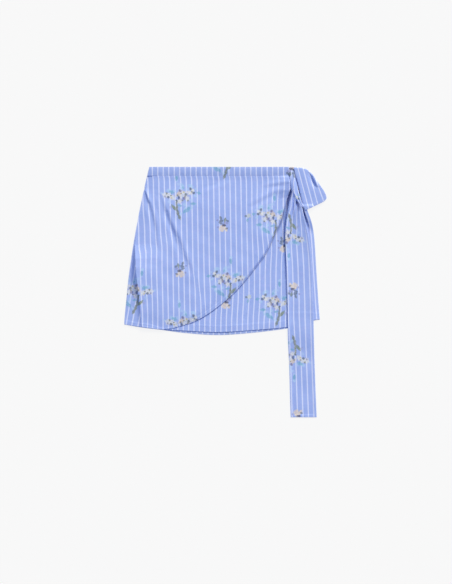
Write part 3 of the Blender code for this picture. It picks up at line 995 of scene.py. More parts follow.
# %% [markdown]
# ### The loose edge
#
# The free edge is held only at its two ends, so it stands off the skirt by a few millimetres, and its
# narrow hem rolls down again at the very edge. That is what throws the thin shadow along it. Small
# puckers hang below the waistband, where a longer edge was eased into a shorter one. And nowhere may the
# panel sink into what it lies on.

# %% The height of the overlap
OVERLAP_LEVEL = 2.6
OVERLAP_SEAM_DROP = 26.0
OVERLAP_DROP_DEPTH = OVERLAP_LEVEL - BACK_LEVEL - 0.95
WAIST_PUCKERS = (
    Wave(0.26, 11.3, 0.0, 0.5),
    Wave(0.20, 17.9, 4.0, 1.7),
)
PUCKER_REACH = 11.0
SEAM_STEP = 0.5                 # just below the band the panel rises to meet its edge
SEAM_STEP_INSET = 2.0
SEAM_STEP_REACH = 7.0
SEAM_FLAT = 6.0
EDGE_LIFTS = (                  # how far down the free edge, from 0 to 1, and how high it stands there
    (0.0, 2.0), (0.03, 6.0), (0.07, 5.0), (0.11, 1.2), (0.22, 4.0), (0.3, 7.4), (0.4, 7.6),
    (0.5, 5.4), (0.6, 3.2), (0.7, 1.4), (0.78, 2.0), (0.88, 0.8), (1.0, 0.5),
)
EDGE_LIFT_REACH = 30.0
EDGE_ROLLS = (                  # and how far its hem rolls down again
    (0.0, 0.0), (0.2, 2.0), (0.28, 5.6), (0.42, 5.6), (0.5, 3.0), (0.6, 1.2), (0.72, 0.3), (1.0, 0.0),
)
EDGE_ROLL_REACH = 2.6
GROUND_ON_BACK = 1.1
GROUND_FADE = 40.0
GROUND_GAP = 0.1


def ground_under_overlap(grid):
    """What the overlap lies on: the underlap, and left of the underlap's edge the back panel."""
    on_underlap = smooth_step((grid[..., 0] - UNDERLAP_EDGE_HEM) / GROUND_FADE)
    return GROUND_ON_BACK * (1 - on_underlap) + underlap_top(grid) * on_underlap


def overlap_underside(grid, down):
    from_seam, from_edge = lengths_across(grid), lengths_from_right(grid)
    down = down[:, None]
    raised = overlap_relief(grid, down, from_seam)
    raised = raised + look_up(down, EDGE_LIFTS) * bell(from_edge / EDGE_LIFT_REACH)
    raised = raised - look_up(down, EDGE_ROLLS) * bell(from_edge / EDGE_ROLL_REACH)
    below_band = PANEL_TOP - grid[..., 1]
    raised = raised + wave_relief(grid, WAIST_PUCKERS) * np.exp(-below_band / PUCKER_REACH)
    raised = raised * smooth_step(below_band / SEAM_FLAT)
    raised = raised + SEAM_STEP * bell((below_band - SEAM_STEP_INSET) / SEAM_STEP_REACH)
    fold, outside = tuck_relief(grid, from_seam)
    calm = 1 - TUCK_CALM * smooth_step((TUCK_TOP - grid[..., 1]) / TUCK_CALM_REACH)
    raised = np.where(outside, raised * calm, raised) + fold
    drop = OVERLAP_DROP_DEPTH * (1 - smooth_step(from_seam / OVERLAP_SEAM_DROP))
    return np.maximum(OVERLAP_LEVEL + raised - drop, ground_under_overlap(grid) + GROUND_GAP)


overlap_height = overlap_underside(overlap_plane, overlap_down)
print(f"the overlap's underside rises to {overlap_height.max():.1f} mm")

# %% [markdown]
# ### Its stripes and its print
#
# The stripes drift a little on the way down, since the panel flares, and bend where the cloth was pulled.
# Two folds have swallowed cloth: the one from the hip takes up some millimetres gently, and at the deep
# fold the stripes jump, by more the higher up one looks.

# %% Make the overlap
OVERLAP_HEM_WIDTH = 8.0
OVERLAP_STRIPE_START = -2.57
BAND_JOG = 2.5                  # the stripes step to the left on the waistband
BAND_JOG_REACH = 5.0
STRIPE_DRIFT = 0.016            # and drift to the right on the way down
DRIFT_FROM = 277.5
HIP_FOLD_RUNS_OUT = ((-67, 8), (-56, -22), (-46, -60), (-38, -98))
HIP_FOLD_SWALLOWS = 4.5
HIP_FOLD_WIDTH = 22.0
HIP_FOLD_STARTS = 0.08          # as shares of its length
HIP_FOLD_GROWS = 0.18
TUCK_SWALLOWS_AT_HEM = 3.75
TUCK_SWALLOWS_MORE = 0.17       # for each millimetre above the hem
TUCK_SWALLOWS_FROM = -82.5
OVERLAP_PULLS = (
    Pull(130.0, 222.0, 45.0, 38.0, 4.5),
    Pull(116.0, 158.0, 40.0, 40.0, 5.5),
    Pull(-190.0, 150.0, 36.0, 50.0, -4.0),
    Pull(-216.0, 80.0, 28.0, 50.0, -1.2),
    Pull(-195.0, -40.0, 36.0, 60.0, -2.4),
    Pull(-208.0, -70.0, 18.0, 40.0, -2.6),
    Pull(-22.0, -4.0, 26.0, 36.0, -2.3),
)
OVERLAP_PLACES = (
    Place("spray", 6.2, 30.0, 0, False),
    Place("spray", 118.0, 186.8, 3, False),
    Place("bud", 58.0, 190.5, 0, False),
    Place("spray", -115.5, 237.5, 0, True),
    Place("spray", -108.5, -79.5, 0, True),
    Place("spray", -2.2, 340.0, 0, False),
    Place("spray", -222.3, 1.0, -8, False),
    Place("sprig", -5.0, 168.8, 0, False),
    Place("sprig", -113.8, 55.0, 0, True),
)


def overlap_bolt(grid):
    x, y = grid[..., 0], grid[..., 1]
    across = x - OVERLAP_STRIPE_START + BAND_JOG * np.exp((y - PANEL_TOP) / BAND_JOG_REACH)
    across = across - STRIPE_DRIFT * (DRIFT_FROM - y)
    gap, along = distance_to_path(grid, HIP_FOLD + HIP_FOLD_RUNS_OUT)
    left_of_fold = smooth_step(0.5 - gap / HIP_FOLD_WIDTH)
    swallowed = HIP_FOLD_SWALLOWS * smooth_step((along - HIP_FOLD_STARTS) / HIP_FOLD_GROWS)
    return np.dstack([across - swallowed * left_of_fold + pulled(grid, OVERLAP_PULLS), y])


def make_overlap(grid, underside):
    gap = np.minimum(lengths_from_right(grid), lengths_from_foot(grid))
    thickness = CLOTH_THICKNESS + hem_thickness(gap, OVERLAP_HEM_WIDTH, HEM_EXTRA)
    middle = np.dstack([grid, underside + thickness / 2])
    swallowed = TUCK_SWALLOWS_AT_HEM + TUCK_SWALLOWS_MORE * (grid[..., 1] - TUCK_SWALLOWS_FROM)
    jump = (TUCK_COLUMN, swallowed * (grid[..., 1] < TUCK_TOP))
    return cloth_sheet("overlap_cloth", middle, thickness, overlap_bolt(grid), OVERLAP_PLACES, jump=jump)


overlap = make_overlap(overlap_plane, overlap_height)

# %% [markdown]
# ## Waistband
#
# Each stretch of the waistband is a strip folded double along its top edge and stitched down along its
# seam, so it is thicker than the panels and a little pillowed between its two rows of stitches. A plain
# box would do for its size, but only a sheet with this section catches the light as a real one does.

# %% Make the three stretches of waistband
BAND_STRIPE_START = OVERLAP_STRIPE_START - BAND_JOG
BAND_PILLOW = 0.4
BAND_RIPPLES = (
    Wave(0.16, 19.0, 3.0, 0.0),
    Wave(0.12, 33.0, -6.0, 1.4),
)
BAND_PLACES = (
    Place("spray", -2.2, 340.0, 0, False),
    Place("sprig", 165.0, 305.4, 180, False),
)
Band = namedtuple("Band", "name level thickness left right steps")
End = namedtuple("End", "waist seam")
waist_left, waist_right = (
    End(getattr(SIDE_SEAMS[0], side), float(seam_across(side, np.array([BAND_SEAM]))[0]))
    for side in ("left", "right")
)
BANDS = (
    Band("back_band", 0.02, 0.6, waist_left, waist_right, 120),
    Band("underlap_band", 1.3, 0.6, End(UNDERLAP_EDGE_TOP, UNDERLAP_EDGE_TOP), waist_right, 110),
    Band("overlap_band", 3.26, 0.5, waist_left, End(BAND_END_TOP, OVERLAP_BAND_END), 180),
)


def make_band(band):
    down = bunched(16, 1.0, 1.0, 0.15)
    across = bunched(band.steps, 1.0, 1.0, 0.03)
    heights = WAIST - BAND_WIDTH * down
    left, right = (
        np.column_stack([np.interp(down, [0, 1], [end.waist, end.seam]), heights])
        for end in (band.left, band.right)
    )
    top = left[0] + (right[0] - left[0]) * across[:, None]
    bottom = left[-1] + (right[-1] - left[-1]) * across[:, None]
    grid = patch(left, right, top, bottom, down, across)
    arch = np.sin(np.pi * down)[:, None] + 0 * grid[..., 0]
    walls = band.thickness + BAND_PILLOW * arch
    ripple = wave_relief(grid, BAND_RIPPLES)
    middle = np.dstack([grid, band.level + (ripple - ripple.min()) * arch + walls / 2])
    bolt = np.dstack([grid[..., 0] - BAND_STRIPE_START, grid[..., 1]])
    return cloth_sheet(band.name, middle, walls, bolt, BAND_PLACES)


back_band, underlap_band, overlap_band = (make_band(band) for band in BANDS)

# %% [markdown]
# ## Long sash end
#
# The sash is a tube of cloth, sewn, turned and pressed flat, 63 mm wide. It comes out gathered from
# under the knot, lies on the skirt, steps down over the hem and ends square on the table. Four curves
# hold its outline, as for a panel.

# %% Lay out the long sash end
TAIL_TOP = ((167.5, 257.0), (175.0, 240.0), (184.0, 223.5), (191.2, 209.6))
TAIL_LEFT = (
    (167.5, 257.0), (161.6, 234.0), (156.6, 207.0), (150.4, 162.0), (149.8, 130.0), (152.6, 66.0),
    (155.2, -30.0), (156.4, -110.0), (160.0, -190.0), (162.2, -270.0), (163.6, -312.5),
)
TAIL_RIGHT = (
    (191.2, 209.6), (195.4, 191.0), (199.8, 174.0), (208.0, 137.0), (214.3, 85.0), (218.0, 5.0),
    (219.8, -95.0), (221.8, -170.0), (224.2, -238.0), (227.2, -312.5),
)
tail_down = bunched(250, 1.5, 1.5, 0.03)
tail_across = bunched(48, 1.5, 1.5, 0.10)


def tail_grid():
    left, right = smooth_curve(TAIL_LEFT, tail_down), smooth_curve(TAIL_RIGHT, tail_down)
    top = smooth_curve(TAIL_TOP, tail_across)
    bottom = left[-1] + (right[-1] - left[-1]) * tail_across[:, None]
    return patch(left, right, top, bottom, tail_down, tail_across)


tail_plane = tail_grid()
print(f"the long end is {lengths_across(tail_plane)[-1, -1]:.0f} mm wide at its foot")

# %% [markdown]
# ### Its gathers
#
# The gathers are ridges that fan out and fade within a hand's width. Where they leave the knot the whole
# sash stands higher. Its left edge stands a little off the skirt all the way to the hem. Cloth simulation
# would find such ridges too, but not these ones in these places.

# %% The height of the long sash end
Gather = namedtuple("Gather", "across width height reach")
TAIL_GATHERS = (
    Gather(0.10, 0.09, 2.6, 150.0),
    Gather(0.34, 0.07, 4.4, 75.0),
    Gather(0.45, 0.045, -9.0, 28.0),
    Gather(0.62, 0.07, 2.4, 60.0),
    Gather(0.80, 0.07, 1.5, 60.0),
)
TAIL_LEFT_LIFT = (              # a height along the sash, and how far its edge stands up there
    (257.0, 5.0), (235.0, 8.0), (205.0, 9.0), (180.0, 8.0), (150.0, 5.6), (110.0, 3.8),
    (60.0, 3.0), (-60.0, 1.8), (-90.0, 1.2), (-120.0, 0.2), (-320.0, 0.2),
)
TAIL_RIGHT_LIFT = (
    (230.0, 5.0), (180.0, 4.0), (130.0, 1.6), (60.0, 1.0), (-90.0, 0.8), (-120.0, 0.2), (-320.0, 0.2),
)
TAIL_LIFT_REACH = 0.13
TAIL_SWELL = 6.0                # the whole sash stands higher where it comes out of the knot
TAIL_SWELL_REACH = 70.0
TAIL_REST = 0.25
TAIL_PILLOW = 0.5
TAIL_WAVES = (
    Wave(0.22, 83.0, 78.0, 0.4),
    Wave(0.14, 39.0, 20.0, 1.3),
)
TAIL_STEP_TOP = -94.0           # from here down it steps off the skirt onto the table
TAIL_STEP_LENGTH = 80.0
TAIL_ON_SKIRT = 0.15            # the least gap above the skirt, and above the table
TAIL_ON_TABLE = 0.05


def tail_relief(grid):
    """Gathers, raised edges, swell and waves of the long sash end."""
    across, y = tail_across[None, :], grid[..., 1]
    below_knot = np.maximum(grid[:1, :, 1] - y, 0.0)
    height = np.zeros(y.shape)
    for gather in TAIL_GATHERS:
        fade = 1 - smooth_step(below_knot / gather.reach)
        height += gather.height * fade * bell((across - gather.across) / gather.width)
    for lifts, gap in ((TAIL_LEFT_LIFT, across), (TAIL_RIGHT_LIFT, 1 - across)):
        height += look_up(y, lifts) * bell(gap / TAIL_LIFT_REACH)
    height += TAIL_SWELL * bell(below_knot / TAIL_SWELL_REACH) * np.sin(np.pi * across) ** 0.5
    height += TAIL_REST + wave_relief(grid, TAIL_WAVES) + TAIL_PILLOW * np.sin(np.pi * across)
    return np.maximum(height, 0.0)


def tail_underside(grid):
    on_table = smooth_step((TAIL_STEP_TOP - grid[..., 1]) / TAIL_STEP_LENGTH)
    ground = np.maximum(underlap_top(grid), UNDERLAP_LEVEL + CLOTH_THICKNESS) + TAIL_ON_SKIRT
    return ground * (1 - on_table) + TAIL_ON_TABLE * on_table + tail_relief(grid)


tail_height = tail_underside(tail_plane)
print(f"the long end's underside rises to {tail_height.max():.1f} mm")

# %% [markdown]
# ### Its stripes and its print
#
# The stripes run lengthwise and close up towards the knot, because the map of the bolt gives each row of
# the grid the same 64 mm of cloth, however narrow it has been gathered. The print hangs upside down here:
# the sash was cut from the other end of the bolt.

# %% Make the long sash end
SASH_THICKNESS = 0.9
SASH_SEAM_WIDTH = 5.0
SASH_SEAM_EXTRA = 0.5           # the seam allowances inside its edges
TAIL_WIDTH_ON_BOLT = 64.0
TAIL_FIRST_STRIPE = 3.2
# painted shade, drawn along the deep folds of the long sash end
TAIL_SHADES = (                 # between two gathers, and left of the strap
    Shade(0.8, 3.0, ((177.5, 233), (179.5, 226), (181.5, 219), (183.5, 211), (184.5, 200))),
    Shade(0.7, 2.4, ((168.5, 257), (165.5, 247), (162.8, 237), (160, 226))),
)
TAIL_PULLS = (
    Pull(158.0, 152.0, 30.0, 22.0, -1.4),
    Pull(150.0, 118.0, 45.0, 56.0, 2.2),
    Pull(165.0, 214.0, 30.0, 20.0, -5.0),
    Pull(170.0, -60.0, 30.0, 32.0, 1.7),
    Pull(175.0, 20.0, 40.0, 50.0, 1.5),
)
TAIL_PLACES = (
    Place("spray", 155.4, 138.5, 175, True),
    Place("spray", 167.4, -165.5, 177, True),
    Place("sprig", 168.8, 5.0, 180, False),
    Place("sprig", 181.5, -312.5, 180, True),
)


def sash_thickness(grid):
    gap = np.minimum(lengths_across(grid), lengths_from_right(grid))
    gap = np.minimum(gap, lengths_from_foot(grid))
    return SASH_THICKNESS + hem_thickness(gap, SASH_SEAM_WIDTH, SASH_SEAM_EXTRA, step=2.0)


def make_tail(grid, underside):
    thickness = sash_thickness(grid)
    middle = np.dstack([grid, underside + thickness / 2])
    on_bolt = tail_across[None, :] * TAIL_WIDTH_ON_BOLT - TAIL_FIRST_STRIPE + pulled(grid, TAIL_PULLS)
    bolt = np.dstack([on_bolt, grid[..., 1]])
    return cloth_sheet("sash_tail", middle, thickness, bolt, TAIL_PLACES, shades=TAIL_SHADES)


tail = make_tail(tail_plane, tail_height)

# %% [markdown]
# ## Knot
#
# The knot is the sash folded narrow and pulled once over itself. Its hidden layers can't be seen, so it
# is one closed roll: sections set across a curved middle line, each with the same rounded back, and
# pleats pressed into it that run slantwise from end to end. A simulated knot would be a lot of work for
# the little of it that shows.

# %% Shape the knot
Wrap = namedtuple("Wrap", "x y width foot back")
WRAPS = (
    Wrap(165.0, 305.0, 11.0, 4.6, 8.2),
    Wrap(166.4, 292.0, 14.0, 4.8, 10.2),
    Wrap(168.6, 278.0, 15.4, 5.2, 12.0),
    Wrap(171.8, 262.0, 16.8, 6.0, 13.2),
    Wrap(175.4, 246.0, 16.8, 6.6, 13.6),
    Wrap(183.4, 228.0, 11.6, 6.4, 12.2),
    Wrap(192.8, 212.0, 5.0, 5.6, 8.4),
)
KNOT_RINGS = 84
KNOT_SIDES = 56
KNOT_EDGE_SHARE = 0.35          # its widest line lies this far up its height
KNOT_FLATNESS = 0.6             # below 1 its back is flatter than a round one
KNOT_CLOSING = 0.035            # its ends close within this share of its length
KNOT_CLOSED = 0.02
KNOT_CREST = (                  # a white stripe runs along its crest, from side to side as it goes down
    (0.0, -1.5), (0.2, -0.67), (0.36, 0.08), (0.53, 0.32), (0.8, 0.36), (1.0, 0.4),
)
KNOT_CREST_HEIGHT = 1.3
KNOT_CREST_WIDTH = 0.22
Pleat = namedtuple("Pleat", "start end depth width")
PLEATS = (
    Pleat(-1.45, 0.35, 1.1, 0.24),
    Pleat(-0.30, 1.50, 0.8, 0.16),
    Pleat(-1.90, -0.30, 1.0, 0.14),
)
knot_along = np.linspace(0.0, 1.0, KNOT_RINGS)[:, None]
knot_angles = 2 * np.pi * np.arange(KNOT_SIDES) / KNOT_SIDES
knot_side = np.cos(knot_angles)[None, :]
knot_crest = look_up(knot_along, KNOT_CREST)


def knot_points():
    """Corner points of the knot, ring by ring."""
    sections = smooth_curve([tuple(row) for row in WRAPS], knot_along[:, 0])
    middle, width, foot, back_height = np.split(sections, (2, 3, 4), axis=1)
    heading = unit(np.gradient(middle, axis=0))
    sideways = np.column_stack([heading[:, 1], -heading[:, 0]])
    up = np.sin(knot_angles)[None, :]
    from_end = np.minimum(knot_along, 1 - knot_along)
    closing = np.sqrt(np.clip(from_end / KNOT_CLOSING, KNOT_CLOSED, 1.0))
    swell = np.where(up > 0, 1 - KNOT_EDGE_SHARE, KNOT_EDGE_SHARE)
    share = KNOT_EDGE_SHARE + swell * np.sign(up) * np.abs(up) ** KNOT_FLATNESS * closing
    press = -KNOT_CREST_HEIGHT * bell((knot_side - knot_crest) / KNOT_CREST_WIDTH)
    for pleat in PLEATS:
        centre = pleat.start + (pleat.end - pleat.start) * knot_along
        press = press + pleat.depth * bell((knot_side - centre) / pleat.width)
    press = press * np.clip(up, 0, 1) ** 0.5 * np.sin(np.pi * knot_along) ** 0.4
    height = foot + share * (back_height - foot) - press
    out = 0.5 * width * knot_side * closing
    plane = middle[:, None, :] + out[..., None] * sideways[:, None, :]
    return np.dstack([plane, height]).reshape(-1, 3)


def knot_faces():
    """Its faces: a ring of four-sided walls, and a cap of four-sided faces at either end."""
    ring = np.arange(KNOT_RINGS * KNOT_SIDES).reshape(KNOT_RINGS, KNOT_SIDES)
    following = np.roll(ring, -1, axis=1)
    walls = np.stack([ring[:-1], following[:-1], following[1:], ring[1:]], axis=-1).reshape(-1, 4)
    caps = []
    for row, flip in ((ring[0], True), (ring[-1], False)):
        for k in range(KNOT_SIDES // 2 - 1):
            quad = [row[k], row[k + 1], row[-(k + 2)], row[-(k + 1)]]
            caps.append(quad if flip else quad[::-1])
    return np.vstack([walls, np.array(caps)])


print(f"the knot is {knot_points()[:, 2].max():.1f} mm high")

# %% [markdown]
# ### Its cloth
#
# The bolt runs lengthwise through the knot, and its white stripe is laid along the crest, so that the
# stripe turns over the side exactly where the cloth does. Its two long edges are a little paler: wear, and
# a painted highlight.

# %% Make the knot
KNOT_WIDTH_ON_BOLT = 21.5
KNOT_LENGTH_ON_BOLT = 100.0
# the knot's long edges are lightened: wear, and a painted highlight
KNOT_WEAR_AND_HIGHLIGHT = 0.3
KNOT_WEAR_AND_HIGHLIGHT_FALLS = 8             # the higher, the closer the wear keeps to the edge
KNOT_PLACES = (
    Place("bud", 176.0, 236.0, 145, False),
    Place("sprig", 165.0, 305.4, 180, False),
)


def make_knot():
    points, faces = knot_points(), knot_faces()
    piece = add_mesh("sash_knot", points, faces)
    run = knot_along * KNOT_LENGTH_ON_BOLT + 0 * knot_side
    bolt = np.dstack([(knot_side - knot_crest) * KNOT_WIDTH_ON_BOLT / 2, run])
    add_map(piece.data, "cloth", bolt.reshape(-1, 2)[faces] * MM)
    add_map(piece.data, "print", print_map(points[:, :2], faces, KNOT_PLACES))
    add_values(piece.data, "edge_wear_and_highlight", KNOT_WEAR_AND_HIGHLIGHT * np.abs(knot_side) ** KNOT_WEAR_AND_HIGHLIGHT_FALLS + 0 * run)
    print(f"sash_knot: {len(faces) * 2} triangles")
    return piece


knot = make_knot()

# %% [markdown]
# ## Short sash end
#
# The other end of the sash comes up behind the knot, turns over at the waist and lies out to the right.
# Beside the knot it swells a little and then dives under it, a pleat runs down its outer side, and its
# foot is sewn square. The layer that shows is laid out first, from four curves like a panel.

# %% Shape the layer that shows
END_TURN = ((171.5, 309.0), (183.0, 308.8), (194.0, 307.4), (205.7, 303.0), (218.4, 291.8))
END_OUTER = (
    (218.4, 291.8), (227.5, 278.8), (236.0, 266.3), (244.6, 253.8), (250.6, 242.0), (252.2, 234.0),
)
END_INNER = ((171.5, 309.0), (176.4, 283.0), (182.4, 252.0), (190.6, 222.0), (200.2, 204.8))
END_FOOT = (
    (200.2, 204.8), (212.0, 210.2), (224.5, 216.2), (237.0, 222.4), (246.5, 227.6), (252.2, 234.0),
)
TURN_INNER, TURN_OUTER, FOOT_INNER, FOOT_OUTER = 7.8, 5.2, 6.2, 3.2     # heights of its four corners
END_LOFT = 0.6
END_LOFT_FULLNESS = 0.8
END_ROLL = 0.9                  # beside the knot the cloth swells a little
END_ROLL_AT = 0.1               # this and the next as shares of its width
END_ROLL_WIDTH = 0.08
END_TUCK = 5.5                  # and then dives under it
END_TUCK_GROWS = 0.5
END_TUCK_STEEPNESS = 34
END_CREASES = (
    Crease(2.7, 4.2, 1.2, 0.0, ((213, 293), (216, 287), (220, 278), (224.5, 269), (228, 261))),
    Crease(0.5, 6.0, 0.5, 0.0, ((184, 306), (190, 280), (198, 250), (206, 226))),
)
END_CREASE_FADE_DOWN = 0.06
END_CREASE_FADE_ACROSS = 0.05
END_ON_SKIRT = 0.35             # this share of its width lies above the underlap
END_GAP = 0.7


def end_shown():
    down = bunched(62, 1.0, 1.5, 0.08)
    across = bunched(54, 1.0, 1.5, 0.10)
    shown = patch(
        smooth_curve(END_INNER, down), smooth_curve(END_OUTER, down),
        smooth_curve(END_TURN, across), smooth_curve(END_FOOT, across), down, across)
    d, a = down[:, None], across[None, :]
    level = (1 - d) * ((1 - a) * TURN_INNER + a * TURN_OUTER) + d * ((1 - a) * FOOT_INNER + a * FOOT_OUTER)
    swell = END_LOFT * np.sin(np.pi * a) + END_ROLL * bell((a - END_ROLL_AT) / END_ROLL_WIDTH)
    swell = swell - END_TUCK * smooth_step(d / END_TUCK_GROWS) * (1 - a) ** END_TUCK_STEEPNESS
    level = level + np.sin(np.pi * d) ** END_LOFT_FULLNESS * swell
    fade = smooth_step(d / END_CREASE_FADE_DOWN) * smooth_step((1 - a) / END_CREASE_FADE_ACROSS)
    level = level + crease_relief(shown, END_CREASES) * fade
    level = np.maximum(level, underlap_top(shown) * (a < END_ON_SKIRT) + END_GAP)
    return np.dstack([shown, level])


end_layer = end_shown()
print(f"the layer that shows is {lengths_down(end_layer)[-1].max():.0f} mm long")

# %% [markdown]
# ### Its turn and its stripes
#
# The sheet is one grid that runs up the hidden layer, round the turn and down the layer that shows, so the
# fold at the top is a real fold. The stripes lean, and on the outer side, which is rolled over, they lean
# a little more. Beside the knot a deep fold is darkened with painted shade.

# %% Make the short sash end
END_TURN_RADIUS = 1.9
END_TURN_ROWS = 12
END_HIDDEN_ROWS = 10
END_ROOT = (178.0, 276.0)       # the hidden layer runs towards this point
END_ROOT_SHARE = 0.6
END_ROOT_FALL = 0.6
END_MIDDLE_HEIGHT = 266.0
END_STRIPES_AT = 205.25         # where one of the stripes crosses that height
END_STRIPE_PITCH = 12.8         # as it shows, a little closed up
END_LEAN = 0.265
END_OUTER_LEAN = 0.10
END_OUTER_FROM = 223.0
END_OUTER_REACH = 7.0
# painted shade, drawn beside the knot
END_SHADES = (
    Shade(0.85, 2.2, (
        (175.6, 283), (178.5, 270), (181.3, 260), (183.6, 250), (185.6, 240), (188.6, 230), (192.0, 219),
    )),
)


def end_surface(shown):
    turn_line = shown[0]
    inward = unit(shown[1, :, :2] - shown[0, :, :2])
    rows = []
    for share in np.arange(END_HIDDEN_ROWS, 0, -1) / END_HIDDEN_ROWS:
        plane = turn_line[:, :2] + share * END_ROOT_SHARE * (np.array(END_ROOT) - turn_line[:, :2])
        fall = 2 * END_TURN_RADIUS + share * END_ROOT_FALL
        rows.append(np.column_stack([plane, turn_line[:, 2] - fall]))
    for angle in np.linspace(np.pi, 0, END_TURN_ROWS, endpoint=False):
        out, fall = END_TURN_RADIUS * np.sin(angle), END_TURN_RADIUS * (1 - np.cos(angle))
        rows.append(np.column_stack([turn_line[:, :2] - out * inward, turn_line[:, 2] - fall]))
    return np.stack(rows + list(shown))


def end_across_bolt(points):
    drop = END_MIDDLE_HEIGHT - points[..., 1]
    level = points[..., 0] - END_LEAN * drop
    outer = smooth_step((level - END_OUTER_FROM) / END_OUTER_REACH)
    return (level - END_OUTER_LEAN * drop * outer - END_STRIPES_AT) * STRIPE_PITCH / END_STRIPE_PITCH


def make_end(shown):
    middle = end_surface(shown)
    bolt = np.dstack([end_across_bolt(middle), -lengths_down(middle)])
    return cloth_sheet("sash_end", middle, sash_thickness(middle), bolt, (), shades=END_SHADES)


end = make_end(end_layer)

# %% [markdown]
# ## Stitches
#
# Topstitching is what tells sewn cloth from folded cloth. It could be painted as a dashed line, but then
# it would not stand out of the cloth. Each row is a line at a fixed distance inside one border of a
# sheet, so it follows every lift and crease of that border.

# %% Find the lines to sew along
Row = namedtuple("Row", "cloth side inset start end")
STITCH_ROWS = {
    "stitches_overlap": (
        Row(overlap, "right", 6.6, 0.01, 0.995), Row(overlap, "bottom", 6.6, 0.02, 0.98),
    ),
    "stitches_underlap": (Row(underlap, "bottom", 13.6, 0.005, 0.995),),
    "stitches_back": (Row(back, "bottom", 13.6, 0.005, 0.995),),
    "stitches_band": (
        Row(overlap_band, "top", 6.2, 0.0, 1.0), Row(overlap_band, "bottom", 1.6, 0.0, 1.0),
    ),
    "stitches_tail": (
        Row(tail, "left", 3.0, 0.08, 0.994), Row(tail, "right", 3.0, 0.05, 0.994),
        Row(tail, "bottom", 3.0, 0.03, 0.97),
    ),
    "stitches_end": (Row(end, "bottom", 3.0, 0.05, 0.95), Row(end, "right", 3.0, 0.3, 0.95)),
}


def line_inside(row):
    """Points and normals of a line at a fixed distance inside one border of a sheet."""
    top, normals = row.cloth.top, row.cloth.normals
    if row.side in ("top", "bottom"):
        top, normals = top.transpose(1, 0, 2), normals.transpose(1, 0, 2)
    if row.side in ("right", "bottom"):
        top, normals = top[:, ::-1], normals[:, ::-1]
    run = lengths_across(top)
    found = []
    for points, ups, gaps in zip(top, normals, run):
        values = np.hstack([points, ups])
        found.append([np.interp(row.inset, gaps, column) for column in values.T])
    found = np.array(found)
    first, last = int(row.start * (len(found) - 1)), int(row.end * (len(found) - 1))
    return found[first:last + 1]


print(sum(len(rows) for rows in STITCH_ROWS.values()), "rows in", len(STITCH_ROWS), "pieces")

# %% [markdown]
# ### The stitches
#
# Every stitch is a small spindle of thread, its two ends sunk into the cloth. All the stitches of a piece
# are one joined mesh, which stays light: sixteen triangles a stitch.

# %% Sew the rows of stitches
STITCH_LENGTH = 2.5
STITCH_GAP = 1.0
THREAD = 0.26                   # how thick the thread is
STITCH_POINTS = 10              # a tip, two rings of four and a tip
SPINDLE = (                     # how far along a stitch, how thick it is there, and how high it lies
    (0.0, 0.0, -0.1), (0.28, 0.5, 0.03), (0.72, 0.5, 0.03), (1.0, 0.0, -0.1),
)
SPINDLE_CORNERS = (45, 135, 225, 315)


def stitch_shapes(line):
    """Corner points and faces of the spindles along one line."""
    along = np.concatenate([[0.0], np.cumsum(np.linalg.norm(np.diff(line[:, :3], axis=0), axis=1))])
    starts = np.arange(STITCH_GAP, along[-1] - STITCH_LENGTH, STITCH_LENGTH + STITCH_GAP)

    def at(distance):
        return np.column_stack([np.interp(distance, along, column) for column in line.T])

    head, foot = at(starts), at(starts + STITCH_LENGTH)
    way = unit(foot[:, :3] - head[:, :3])
    up = unit(head[:, 3:] + foot[:, 3:])
    side = np.cross(way, up)
    points = []
    for share, radius, lift in SPINDLE:
        centre = head[:, :3] + share * (foot[:, :3] - head[:, :3]) + up * lift
        if radius == 0.0:
            points.append(centre[:, None])
        else:
            corners = [
                centre + THREAD * radius * (np.cos(turn) * side + np.sin(turn) * up)
                for turn in np.radians(SPINDLE_CORNERS)
            ]
            points.append(np.stack(corners, axis=1))
    points = np.concatenate(points, axis=1)
    one = [(0, 1 + k, 1 + (k + 1) % 4) for k in range(4)]
    for k in range(4):
        here, beside = 1 + k, 1 + (k + 1) % 4
        one += [(here, here + 4, beside + 4), (here, beside + 4, beside)]
        one.append((STITCH_POINTS - 1, beside + 4, here + 4))
    faces = np.array(one)[None] + STITCH_POINTS * np.arange(len(points))[:, None, None]
    return points.reshape(-1, 3), faces.reshape(-1, 3)


def sew(name, rows):
    points, faces, total = [], [], 0
    for row in rows:
        corners, triangles = stitch_shapes(line_inside(row))
        faces.append(triangles + total)
        points.append(corners)
        total += len(corners)
    piece = add_mesh(name, np.vstack(points), np.vstack(faces))
    print(f"{name}: {total // STITCH_POINTS} stitches")
    return piece


stitches = {name: sew(name, rows) for name, rows in STITCH_ROWS.items()}

# %% [markdown]
# ## Painting with nodes
#
# The cloth could be painted as a picture and wrapped on. Nodes do it without any picture: they work at
# any closeness, and each number in them can be changed. A few short helpers keep the wiring readable.

# %% Helpers for wiring nodes
def add_node(tree, kind, inputs=None, **settings):
    node = tree.nodes.new(kind)
    for name, value in settings.items():
        setattr(node, name, value)
    for socket, value in (inputs or {}).items():
        if isinstance(value, bpy.types.NodeSocket):
            tree.links.new(value, node.inputs[socket])
        else:
            node.inputs[socket].default_value = value
    return node


def calc(tree, operation, *values):
    return add_node(tree, "ShaderNodeMath", dict(enumerate(values)), operation=operation).outputs[0]


def ramp(tree, value, low, high, to_low=0.0, to_high=1.0):
    """Read a value smoothly from one span onto another."""
    given = {0: value, 1: low, 2: high, 3: to_low, 4: to_high}
    return add_node(tree, "ShaderNodeMapRange", given, interpolation_type="SMOOTHSTEP").outputs[0]


def speckle(tree, place, scale, detail=2.0):
    given = {"Vector": place, "Scale": scale, "Detail": detail}
    return add_node(tree, "ShaderNodeTexNoise", given).outputs[0]


